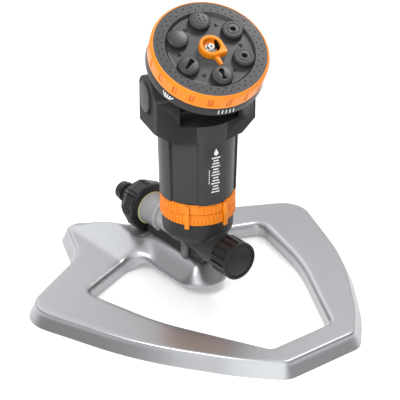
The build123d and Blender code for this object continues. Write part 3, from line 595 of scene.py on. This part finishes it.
def coupling():
    """Swivel nut with flats and grooves, and the click-fit nipple in front of it."""
    outline = soften(
        [
            (15.4, 66.0, 0),
            (15.4, 62.5, 0.3),
            (21.2, 62.5, 0.5),
            (21.7, 65.6, 0.5),
            (20.8, 66.2, 0.3),
            (20.7, 76.5, 2.0),
            (18.4, 82.2, 1.2),
            (9.9, 83.6, 0.6),
            (9.6, 85.2, 0.3),
            (8.2, 85.4, 0.3),
            (8.2, 90.3, 0.3),
            (8.75, 90.6, 0.2),
            (8.75, 92.0, 0.3),
            (6.8, 92.7, 0.3),
            (6.8, 96.4, 0.3),
            (8.75, 97.2, 0.3),
            (8.75, 101.2, 0.2),
            (6.7, 101.5, 0.2),
            (6.7, 103.3, 0.2),
            (7.9, 103.5, 0.2),
            (7.9, 105.6, 0.6),
            (5.2, 105.6, 0.4),
            (5.2, 82.0, 0),
            (12.7, 79.0, 0),
            (12.7, 66.2, 0),
            (15.4, 66.0, 0),
        ],
        3,
    )
    # The nut's wall gets more rows than its corners need, so that the grooves can fade in and out.
    wall, row_gap = 18, 1.2
    dense = []
    for (r0, z0), (r1, z1) in zip(outline, outline[1:]):
        dense.append((r0, z0))
        pieces = int(abs(z1 - z0) / row_gap) if r0 > wall and r1 > wall else 0
        for k in range(1, pieces + 1):
            dense.append((r0 + (r1 - r0) * k / (pieces + 1), z0 + (z1 - z0) * k / (pieces + 1)))

    def lobes(row, angle):
        """Flat sides, with a narrow bar between two grooves at each corner."""
        r, z = dense[row]
        if r < 17.5 or z < 66.4:
            return 0.0
        fade = smoothstep(z, 66.4, 67.4) * (1 - smoothstep(z, 80.4, 82.0))
        pitch = 360 / NUT_SIDES
        off = (math.degrees(angle) % pitch) - pitch / 2
        flat = NUT_RADIUS * (math.cos(math.radians(pitch / 2)) / math.cos(math.radians(off)) - 1)
        corner = pitch / 2 - abs(off)
        groove = smoothstep(corner, 2.4, 3.6) * (1 - smoothstep(corner, 5.6, 6.8))
        return fade * (0.8 + flat - groove)

    make("hose_coupling", Shape().turned(dense, 256, lobes), PIPE, "hose_connector", angle=32)


def neck():
    """Glossy sleeve on the pipe, its dark plastic painted light grey as a painted sheen, with a collar at its
    root, and the pale washer at the nut's mouth.
    """
    sleeve = [
        (11.4, 27),
        (NECK_RADIUS, 27),
        (NECK_RADIUS, 42.3),
        (13.3, 42.7),
        (NECK_COLLAR, 43.3),
        (NECK_COLLAR, 43.9),
        (13.45, 44.3),
        (13.45, 44.7),
        (13.7, 45.1),
        (13.7, 45.6),
        (13.4, 46.2),
        (13.6, 60.0),
        (NECK_MOUTH, 62.5),
        (NECK_MOUTH, 63.5),
        (11.4, 63.5),
        (11.4, 27),
    ]
    make("neck_sleeve", Shape().turned(sleeve), PIPE, "manifold", "neck_painted_sheen", extra=True, angle=35)
    ring = [
        (NECK_MOUTH, 62.6),
        (14.6, 62.6),
        (14.75, 62.9),
        (14.75, 63.6),
        (NECK_MOUTH, 63.6),
        (NECK_MOUTH, 62.6),
    ]
    make("washer_line", Shape().turned(ring), PIPE, "neck_ring")


def outlet_cap():
    """Cap with grooves down its side and a shallow rim round its flat face."""
    face = [(0, -54.05, 0), (13.0, -54.05, 0.1), (13.2, -53.6, 0.1), (13.8, -53.6, 0.1), (14.0, -54.5, 0.15)]
    corner = [(14.0, -54.5, 0), (15.0, -54.6, 0), (CAP_RADIUS, -54.6, 0.8), (CAP_RADIUS, -52.8, 0)]
    side = [(CAP_RADIUS, -52.6 + 15.6 * k / 13) for k in range(14)]
    back = [(15.9, -36.6), (15.5, -36.35), (13.3, -36.35), (13.1, -36.6), (13.1, -49.9), (0, -49.9)]
    rows = soften(face, 2) + soften(corner, 4)[1:] + side + back

    def ribs(row, angle):
        r, z = rows[row]
        if r < 15.95 or z < -52.4 or z > -36.9:
            return 0.0
        return -CAP_GROOVE_DEPTH if in_groove(angle, CAP_GROOVES, CAP_GROOVE_WIDTH) else 0.0

    shape = Shape().turned(rows, groove_angles(CAP_GROOVES, CAP_GROOVE_WIDTH, 0.6, 4), ribs)
    make("outlet_cap", shape, PIPE, "end_cap", angle=32)


# ---- Arc rings, as (radius, height) about the riser ------------------------------------------
RING_BORE, RING_RADIUS, RING_RIBS, RIB_WIDTH, RIB_RISE = 27.85, 30.3, 60, 3.0, 0.75
RINGS = {  # lower edge, upper edge, angle of the tab from the front, turn of the ribs
    "lower_arc_ring": (69.6, 78.9, 22.0, 0.0),
    "upper_arc_ring": (79.2, 88.0, -38.0, 3.0),
}
TAB_LOW, TAB_HIGH, TAB_CIRCLE, TAB_CLEAR = 67.4, 88.0, 31.9, 13


def arc_rings():
    """Two ribbed rings, each with a tab."""
    for node, (low, high, tab_angle, start) in RINGS.items():
        rows = [(RING_BORE, low), (29.9, low), (RING_RADIUS, low + 0.35), (RING_RADIUS, low + 0.95)]
        rows += [(RING_RADIUS, low + 1.0), (RING_RADIUS, high - 1.0), (RING_RADIUS, high - 0.95)]
        rows += [(RING_RADIUS, high - 0.35), (29.9, high), (RING_BORE, high), (RING_BORE, low)]

        def ribs(row, angle, tab_angle=tab_angle, start=start):
            """Ribs between the fifth and sixth row, except beside the tab."""
            if row not in (4, 5):
                return 0.0
            plain = abs((math.degrees(angle) - 270 - tab_angle + 180) % 360 - 180) < TAB_CLEAR
            rib = in_groove(angle + math.radians(start), RING_RIBS, RIB_WIDTH)
            return RIB_RISE if rib and not plain else 0.0

        angles = [a - math.radians(start) for a in groove_angles(RING_RIBS, RIB_WIDTH, 0.25, 1)]
        shape = Shape().turned(rows, angles, ribs)
        spot = math.radians(tab_angle)
        middle = Matrix.Translation((TAB_CIRCLE * math.sin(spot), -TAB_CIRCLE * math.cos(spot), 0))
        place = middle @ Matrix.Rotation(spot, 4, "Z")
        root = soften([(-2, -1.25, 0.7), (2, -1.25, 0.7), (2, 2.1, 0.2), (-2, 2.1, 0.2)], 4, True)
        shape.plate([root], low + 0.4, high - 0.4, 0.2, place)
        wing = soften([(-2, -1.3, 0.7), (2, -1.3, 0.7), (2, 0.8, 0.3), (-2, 0.8, 0.3)], 4, True)
        shape.plate([wing], TAB_LOW, TAB_HIGH, 0.5, place, 3)
        make(node.replace("arc_ring", "ring_ribbed"), shape, TURRET, node, angle=35)


# ---- Turret and manifold ---------------------------------------------------------------------
PIVOT_Z, CAP_FACE, CAP_WIDTH, CAP_HEIGHT = 178.6, 43.55, 20.6, 25.6
SPINE_SEAT = 26.1  # just over the spine
POST_X, POST_Y, FOOT_TOP = 8.7, 5.5, 35.0


def oval(width, height, steps=14):
    """Upright stadium outline about the origin, width along X and height along Y."""
    r, half = width / 2, (height - width) / 2
    turns = [math.pi * k / steps for k in range(steps + 1)]
    top = [(r * math.cos(a), half + r * math.sin(a)) for a in turns]
    return top + [(-x, -y) for x, y in top]


def turret():
    """Body, manifold and bowl from the CAD with their edges eased, and the oval caps on the pivot."""

    def raised_cheeks(co):
        """The faces beside the slot, carried up behind the dial's skirt."""
        if 165.5 < co.z < 174.5 and abs(co.y) > 17.4 and abs(co.x) > 24.9:
            co.z += 3.0 if abs(co.y) > 20 else 4.0

    bevelled("turret_body", "body_shell", 0.45, TURRET, raised_cheeks)
    recast("manifold_body", "manifold", voxel=0.5, passes=4, keep=0.4, matrix=BASE)
    recast("head_bowl", "bowl_housing", voxel=0.7, passes=5, keep=0.4, matrix=HEAD)
    for side, node in ((-1, "pivot_cap_left"), (1, "pivot_cap_right")):
        facing = Matrix(((0, 0, side, CAP_FACE * side), (side, 0, 0, 0), (0, 1, 0, PIVOT_Z), (0, 0, 0, 1)))
        shape = Shape().plate([oval(CAP_WIDTH, CAP_HEIGHT)], -1.0, 2.3, 0.9, facing, 5)
        make("oval_" + node, shape, TURRET, node)


def posts_and_foot():
    """Screw posts, painted lighter than the manifold's plastic for the sheen on them, that stand beside the
    pipe on the spine, and the foot under the pipe painted black for the shade there.
    """
    posts = Shape()
    outline = [(0, SPINE_SEAT), (3.7, SPINE_SEAT), (3.8, 26.3), (3.8, 39.6), (3.5, 40.2), (2.9, 40.5)]
    outline += [(0, 40.6), (0, SPINE_SEAT)]
    for x in (-POST_X, POST_X):
        posts.turned(outline, 40, None, Matrix.Translation((x, POST_Y, 0)))
    make("screw_posts", posts, BASE, "manifold", "post_painted_sheen", extra=True)
    # A black shell over the foot under the pipe: painted shade between the pipe and the spine.
    sides = soften([(-7.7, -13.8, 1.0), (7.7, -13.8, 1.0), (7.7, 60.2, 1.0), (-7.7, 60.2, 1.0)], 4, True)
    foot = Shape().plate([sides], SPINE_SEAT, FOOT_TOP, 0.2)
    make("pipe_foot_shade", foot, BASE, "manifold", "black_plastic", extra=True)


# ---- Head, as heights above the pivot --------------------------------------------------------
FACE, RECESS = 51.8, 2.2  # the dial's face, and how far its middle lies below that
FLOOR = FACE - RECESS
RIM_BORE, MIDDLE_RADIUS, FACE_RADIUS, HUB_BORE = 35.9, 31.4, 44.9, 6.2
NOZZLE_CIRCLE, NOZZLE_RADIUS = 26.5, 8.7
NOZZLES = {
    "star_nozzle": -30,
    "jet_nozzle": 30,
    "shower_nozzle": 90,
    "mist_nozzle": 150,
    "fan_nozzle": 210,
    "vertical_nozzle": 270,
}
RAISED_MOUTH = ("star_nozzle", "jet_nozzle")
NOTCHES, NOTCH_Z, NOTCH_HALF, NOTCH_WIDTH, NOTCH_DEPTH = 20, FACE - 6.6, 3.9, 4.4, 1.3


def orifice(node):
    """Outlines of a nozzle's openings, with +X pointing away from the dial's centre."""
    if node == "star_nozzle":
        tips = [(3.15 if k % 2 else 1.85, k * math.pi / 6) for k in range(12)]
        return [[(r * math.cos(a), r * math.sin(a)) for r, a in tips]]
    if node == "jet_nozzle":
        return [circle(2.15, 32)]
    if node == "shower_nozzle":
        spots = [(4.1 * math.cos(k * math.pi / 3), 4.1 * math.sin(k * math.pi / 3)) for k in range(6)]
        return [circle(0.5, 10, x, y) for x, y in spots + [(0.6, 0.4)]]
    if node == "mist_nozzle":
        return [circle(0.35, 10)]
    if node == "fan_nozzle":
        wedge = soften([(-5.8, -2.0, 0.3), (5.6, -0.75, 0.3), (5.6, 0.75, 0.3), (-5.8, 2.0, 0.3)], 3, True)
        c, s = math.cos(math.radians(11)), math.sin(math.radians(11))
        return [[(x * c - y * s, x * s + y * c) for x, y in wedge]]
    side = [(-4.9, 1.3, 0.4), (-3.6, 2.2, 0.6), (-1.9, 1.9, 0.5), (-0.4, 0.85, 0.4), (2.2, 0.8, 0.4)]
    side += [(3.4, 1.7, 0.4), (5.2, 1.6, 0.4)]
    return [soften([(x, -y, r) for x, y, r in side] + side[::-1], 3, True)]


def face_plate():
    """Rim with two rows of small holes, a cone down to the middle, and three pits between the nozzles."""
    holes = []
    for k in range(40):
        for radius, start in ((41.6, 3.0), (38.2, 7.5)):
            a = math.radians(start + 9 * k)
            holes.append(circle(0.55, 10, radius * math.cos(a), radius * math.sin(a)))
    shape = Shape().plate([circle(FACE_RADIUS, 160), circle(RIM_BORE, 128)] + holes, FACE - 0.7, FACE, 0.1)
    cone = soften(
        [
            (35.95, FACE - 0.6, 0),
            (RIM_BORE, FACE - 0.1, 0.1),
            (35.4, FACE - 0.35, 0.1),
            (34.0, FLOOR, 0.4),
            (31.0, FLOOR, 0),
        ],
        3,
    )
    shape.turned(cone + [(31.0, FACE - 3.6), (35.95, FACE - 3.6), (35.95, FACE - 0.6)])
    pits = []
    for angle in (0, 60, 120, 180, 240, 300):
        for k in range(3):
            a, b = math.radians(angle), math.radians(angle + 30 + 120 * k)
            x, y = 25.6 * math.cos(a), 25.6 * math.sin(a)
            pits.append(circle(0.78, 12, x + 1.1 * math.cos(b), y + 1.1 * math.sin(b)))
    shape.plate([circle(MIDDLE_RADIUS, 128), circle(HUB_BORE, 48)] + pits, FLOOR - 0.6, FLOOR, 0.1)
    make("dial_face", shape, HEAD, "face_plate", angle=12)
    # A near-black backing under the rim's holes and the middle's pits, painted as the shade inside them.
    low, under_rim, under_floor = FACE - 6.0, FACE - 0.65, FLOOR - 0.55
    wells = [(HUB_BORE, low), (44.5, low), (44.5, under_rim), (36.2, under_rim), (36.2, under_floor)]
    wells += [(HUB_BORE, under_floor), (HUB_BORE, low)]
    make("dial_hole_shade", Shape().turned(wells, 96), HEAD, "face_plate", "painted_hole_shade", extra=True)


def nozzles():
    """Domed inserts, each with its own openings, and near-black discs under them painted as the shade in
    their wells.
    """
    shade_discs = Shape()
    for node, angle in NOZZLES.items():
        place = Matrix.Rotation(math.radians(angle), 4, "Z") @ Matrix.Translation((NOZZLE_CIRCLE, 0, 0))
        rim = [(NOZZLE_RADIUS, FACE - 3.2, 0), (8.6, FACE + 1.3, 0.4), (8.2, FACE + 2.35, 0.9)]
        rim += [(6.9, FACE + 2.7, 0.4)]
        mouth, level, well = 6.9, FACE + 2.71, 6.8
        if node in RAISED_MOUTH:
            mouth, level, well = 4.9, FACE + 2.5, 4.85
            rim += [(5.6, FACE + 2.72, 0.1), (5.3, FACE + 2.3, 0.1), (mouth, FACE + 2.3, 0)]
        rim += [(mouth, FACE + 1.4, 0), (mouth, FACE - 3.2, 0), (NOZZLE_RADIUS, FACE - 3.2, 0)]
        shape = Shape().turned(soften(rim, 5), 72, None, place)
        shape.plate([circle(mouth + 0.02, 56)] + orifice(node), level - 0.7, level, 0.1, place)
        make(node.replace("nozzle", "insert"), shape, HEAD, node, angle=16)
        sides = [(0, FACE - 1.0), (well, FACE - 1.0), (well, FACE + 1.85), (0, FACE + 1.85)]
        shade_discs.turned(sides, 40, None, place)
    make("nozzle_hole_shade", shade_discs, HEAD, "face_plate", "painted_hole_shade", extra=True)


def bezel():
    """Orange band with finger notches round it, and darker orange plates in the notches painted as the shade
    in them.
    """
    low, high = NOTCH_Z - NOTCH_HALF, NOTCH_Z + NOTCH_HALF
    rows = [
        (45.05, FACE - 14.0),
        (46.9, FACE - 14.0),
        (47.25, FACE - 13.6),
        (47.3, low - 0.15),
        (47.3, low + 0.15),
        (47.36, (low + high) / 2),
        (47.4, high - 0.15),
        (47.4, high + 0.15),
        (47.4, FACE - 2.5),
        (47.25, FACE - 1.9),
        (45.75, FACE + 0.15),
        (45.45, FACE + 0.28),
        (45.1, FACE + 0.22),
        (45.02, FACE - 0.2),
        (45.05, FACE - 14.0),
    ]

    def notch(row, angle):
        return -NOTCH_DEPTH if row in (4, 5, 6) and in_groove(angle, NOTCHES, NOTCH_WIDTH) else 0.0

    shape = Shape().turned(rows, groove_angles(NOTCHES, NOTCH_WIDTH, 0.22, 6), notch)
    make("bezel_notched", shape, HEAD, "bezel_ring", angle=30)
    # Darker orange plates inside the notches: painted shade.
    floors = Shape()
    floor = soften([(-3.4, -1.4, 0.6), (3.4, -1.4, 0.6), (3.4, 1.4, 0.6), (-3.4, 1.4, 0.6)], 3, True)
    lift = Matrix.Translation((0, 0, NOTCH_Z))
    for k in range(NOTCHES):
        a = math.radians(360 / NOTCHES * k)
        c, s = math.cos(a), math.sin(a)
        outward = Matrix(((0, -s, c, 0), (0, c, s, 0), (1, 0, 0, 0), (0, 0, 0, 1)))
        floors.plate([floor], 45.4, 46.75, 0.15, lift @ outward)
    make("notch_shade_floors", floors, HEAD, "bezel_ring", "orange_painted_shade", extra=True)


def dial_skirt():
    """Dark band under the bezel."""
    outline = soften(
        [
            (44.9, FACE - 3.2, 0),
            (44.9, FACE - 14.05, 0),
            (46.9, FACE - 14.1, 0.3),
            (47.6, FACE - 22.3, 0.6),
            (45.4, FACE - 22.3, 0.4),
            (45.0, FACE - 16.0, 0),
            (43.1, FACE - 15.6, 0),
            (43.1, FACE - 3.2, 0),
            (44.9, FACE - 3.2, 0),
        ],
        3,
    )
    make("skirt_band", Shape().turned(outline, 160), HEAD, "dial_skirt", angle=35)


def pointer():
    """Cup with one drawn-out corner, the needle under it, and a near-black block in it painted as the shade
    of a slit in its wall.
    """
    low, top, radius = FACE - 1.55, FACE + 5.0, 9.6
    turn, needle_turn = math.radians(-38), math.radians(-80)
    turns = [math.radians(45 + 270 * k / 36) for k in range(37)]
    rim = [(radius * math.cos(a), radius * math.sin(a)) for a in turns]
    diagonal = radius * 0.7071
    rim += soften([(diagonal, -diagonal, 0), (13.6, 0, 1.0), (diagonal, diagonal, 0)], 4)[1:-1]
    c, s = math.cos(turn), math.sin(turn)
    outline = [(x * c - y * s, x * s + y * c) for x, y in rim]
    shape = Shape().plate([outline, circle(6.9, 48)], low, top, 0.7, None, 4)
    shape.turned([(0, FACE + 0.5), (7.2, FACE + 0.5), (7.2, FACE - 1.0), (0, FACE - 1.0)], 48)
    needle = soften([(8.0, -2.0, 0), (17.8, -0.75, 0.7), (17.8, 0.75, 0.7), (8.0, 2.0, 0)], 4, True)
    shape.plate([needle], low, FACE + 2.6, 0.5, Matrix.Rotation(needle_turn, 4, "Z"), 3)
    make("pointer_cup", shape, HEAD, "pointer_hub", angle=40)
    # Near-black plate standing for the slit: painted shade.
    slit = soften([(4.4, -4.2, 0.2), (5.6, -3.6, 0.2), (5.6, 4.4, 0.2), (4.4, 5.2, 0.2)], 2, True)
    cut = Shape().plate([slit], FACE + 0.45, FACE + 4.3, 0.1)
    make("pointer_slit_shade", cut, HEAD, "pointer_hub", "painted_hole_shade", extra=True)


# ---- Signs -----------------------------------------------------------------------------------
PRINT, SUNK = 0.12, 0.02  # thickness of the print, and how far it sinks into the surface
BAR_GAP, BAR_WIDTH, BAR_TOP = 2.55, 1.25, 13.2
DOT_GAP, DOT_WIDTH, DOT_X = 1.9, 0.8, -5.6


def wrapped(outlines, radius, height, angle, slope):
    """Flat signs laid round a cone whose radius shrinks by the slope per millimetre of height.

    The signs' origin goes to the height and the angle in degrees.
    """
    shape = Shape().plate(outlines, 0.0, PRINT, 0.0)
    laid = []
    for u, v, w in shape.verts:
        r, a = radius - slope * v + w - SUNK, math.radians(angle) + u / radius
        laid.append((r * math.cos(a), r * math.sin(a), height + v))
    shape.verts = laid
    return shape


def stroke(a, b, width):
    """A straight stroke between two points, in short steps so that it can be laid round a cone."""
    a, b = Vector(a), Vector(b)
    across = Vector((a.y - b.y, b.x - a.x)).normalized() * width / 2
    steps = [a.lerp(b, k / 6) for k in range(7)]
    return [tuple(p - across) for p in steps] + [tuple(p + across) for p in reversed(steps)]


def signs():
    """Plain white spray signs: a drop over a ladder of bars on the body, two small ones on the skirt."""
    turns = [math.radians(a) for a in range(-210, 31, 20)]
    ladder = [[(1.9 * math.cos(a), 17.2 + 1.9 * math.sin(a)) for a in turns] + [(0.0, 21.4)]]
    for k in range(13):
        half, level = (3.7, 2.3, 3.0)[k % 3], BAR_TOP - BAR_GAP * k
        ladder.append(stroke((-half, level), (half, level), BAR_WIDTH))
    for k in range(7):
        ladder.append(stroke((DOT_X, 3.0 - DOT_GAP * k), (DOT_X, 1.8 - DOT_GAP * k), DOT_WIDTH))
    body = wrapped(ladder, radius=32.05, height=117.6, angle=274.5, slope=-0.0247)
    make("body_sign", body, TURRET, "body_shell", "white_print", extra=True)
    fan = [stroke((0.9 * k, -2.1), (2.6 * k, 2.1), 0.95) for k in range(-2, 3)]
    rise = [stroke((3.1 * k, -2.0), (3.1 * k, 2.0), 0.95) for k in range(-2, 3)]
    for name, outlines, angle in (("fan", fan, 211), ("vertical", rise, 270)):
        shape = wrapped(outlines, radius=47.26, height=FACE - 18.3, angle=angle, slope=0.0854)
        make(name + "_sign", shape, HEAD, "dial_skirt", "white_print", extra=True)


# ---- Stage, in metres -------------------------------------------------------------------------
VIEW_AZIMUTH, VIEW_ELEVATION, VIEW_ANGLE = -38.39, 28.06, 12.5792  # degrees
VIEW_CENTRE, VIEW_DISTANCE = (0.00148, 0.01233, 0.07755), 1.4868
# Brightness of the surroundings from straight down (0) to straight up (1).
SKY = ((0.0, 0.95), (0.12, 0.8), (0.45, 0.75), (0.75, 1.0), (1.0, 0.85))
# Darker and brighter patches in it: direction, angle up to which it is full, angle where it ends, gain.
PATCHES = (
    ((-0.96, 0.22, 0.12), 20, 46, -0.7),
    ((0.58, -0.80, 0.10), 24, 50, -0.5),
    ((-0.70, -0.68, 0.20), 12, 32, 1.2),
    ((0.15, 0.80, 0.58), 7, 23, 0.9),
)
# Pieces of the head that would tint the casting, and so don't show in reflections.
UNREFLECTED = ("bezel_notched", "notch_shade_floors", "pointer_cup", "dial_face")


def camera():
    """A long lens from the front left, 28 degrees above the ground."""
    data = bpy.data.cameras.new("camera")
    cam = bpy.data.objects.new("camera", data)
    bpy.context.scene.collection.objects.link(cam)
    azimuth, elevation = math.radians(VIEW_AZIMUTH), math.radians(VIEW_ELEVATION)
    level = math.cos(elevation)
    back = Vector((math.sin(azimuth) * level, -math.cos(azimuth) * level, math.sin(elevation)))
    cam.location = Vector(VIEW_CENTRE) + back * VIEW_DISTANCE
    cam.rotation_mode = "QUATERNION"
    cam.rotation_quaternion = (-back).to_track_quat("-Z", "Y")
    data.angle = math.radians(VIEW_ANGLE)
    data.clip_start, data.clip_end = 0.05, 30
    bpy.context.scene.camera = cam


def softbox(name, at, towards, side, power):
    """Square area light, its side in metres and its power in watts."""
    data = bpy.data.lights.new(name, "AREA")
    data.shape, data.size, data.size_y, data.energy = "RECTANGLE", side, side, power
    obj = bpy.data.objects.new(name, data)
    bpy.context.scene.collection.objects.link(obj)
    obj.location = at
    obj.rotation_mode = "QUATERNION"
    obj.rotation_quaternion = (Vector(towards) - Vector(at)).to_track_quat("-Z", "Y")


def ground():
    """Plain pale floor."""
    half = 8
    mesh = bpy.data.meshes.new("floor")
    corners = [(-half, -half, 0), (half, -half, 0), (half, half, 0), (-half, half, 0)]
    mesh.from_pydata(corners, [], [(0, 1, 2, 3)])
    floor = bpy.data.objects.new("floor", mesh)
    bpy.context.scene.collection.objects.link(floor)
    mat = bpy.data.materials.new("floor")
    mat.use_nodes = True
    shader = mat.node_tree.nodes["Principled BSDF"]
    shader.inputs["Base Color"].default_value = (0.88, 0.88, 0.88, 1)
    shader.inputs["Roughness"].default_value = 0.28
    shader.inputs["Emission Color"].default_value = (1, 1, 1, 1)
    shader.inputs["Emission Strength"].default_value = 0.22
    mesh.materials.append(mat)


def surroundings():
    """White light from all round, by height and with a few patches that shape the reflections."""
    world = bpy.data.worlds.new("world")
    bpy.context.scene.world = world
    world.use_nodes = True
    nodes, links = world.node_tree.nodes, world.node_tree.links
    where = nodes.new("ShaderNodeTexCoord").outputs["Generated"]
    split = nodes.new("ShaderNodeSeparateXYZ")
    links.new(where, split.inputs["Vector"])
    ramp = nodes.new("ShaderNodeValToRGB")
    for _ in range(len(SKY) - 2):
        ramp.color_ramp.elements.new(0.5)
    for stop, (at, value) in zip(ramp.color_ramp.elements, SKY):
        stop.position = at
        stop.color = (value, value, value, 1)
    links.new(split.outputs["Z"], ramp.inputs["Fac"])
    level = ramp.outputs["Color"]
    for direction, full, none, gain in PATCHES:
        towards = nodes.new("ShaderNodeVectorMath")
        towards.operation = "DOT_PRODUCT"
        links.new(where, towards.inputs[0])
        towards.inputs[1].default_value = Vector(direction).normalized()
        lobe = nodes.new("ShaderNodeMapRange")
        lobe.interpolation_type = "SMOOTHSTEP"
        lobe.inputs["From Min"].default_value = math.cos(math.radians(none))
        lobe.inputs["From Max"].default_value = math.cos(math.radians(full))
        lobe.inputs["To Max"].default_value = gain
        links.new(towards.outputs["Value"], lobe.inputs["Value"])
        total = nodes.new("ShaderNodeMath")
        total.operation = "ADD"
        links.new(level, total.inputs[0])
        links.new(lobe.outputs["Result"], total.inputs[1])
        level = total.outputs["Value"]
    links.new(level, nodes["Background"].inputs["Strength"])
    nodes["Background"].inputs["Color"].default_value = (1, 1, 1, 1)


def stage():
    """Floor, surroundings and two softboxes."""
    ground()
    surroundings()
    softbox("key", (-1.1, -0.2, 1.3), (0, 0, 0.1), side=0.6, power=11)
    softbox("sheen", (0.52, 0.06, 1.0), (0, 0, 0.15), side=0.28, power=3.2)
    for name in UNREFLECTED:
        bpy.data.objects[name].visible_glossy = False
    bpy.context.scene.view_settings.view_transform = "Standard"


base()
coupling()
neck()
outlet_cap()
arc_rings()
posts_and_foot()
turret()
face_plate()
nozzles()
bezel()
dial_skirt()
pointer()
signs()
stage()
camera()
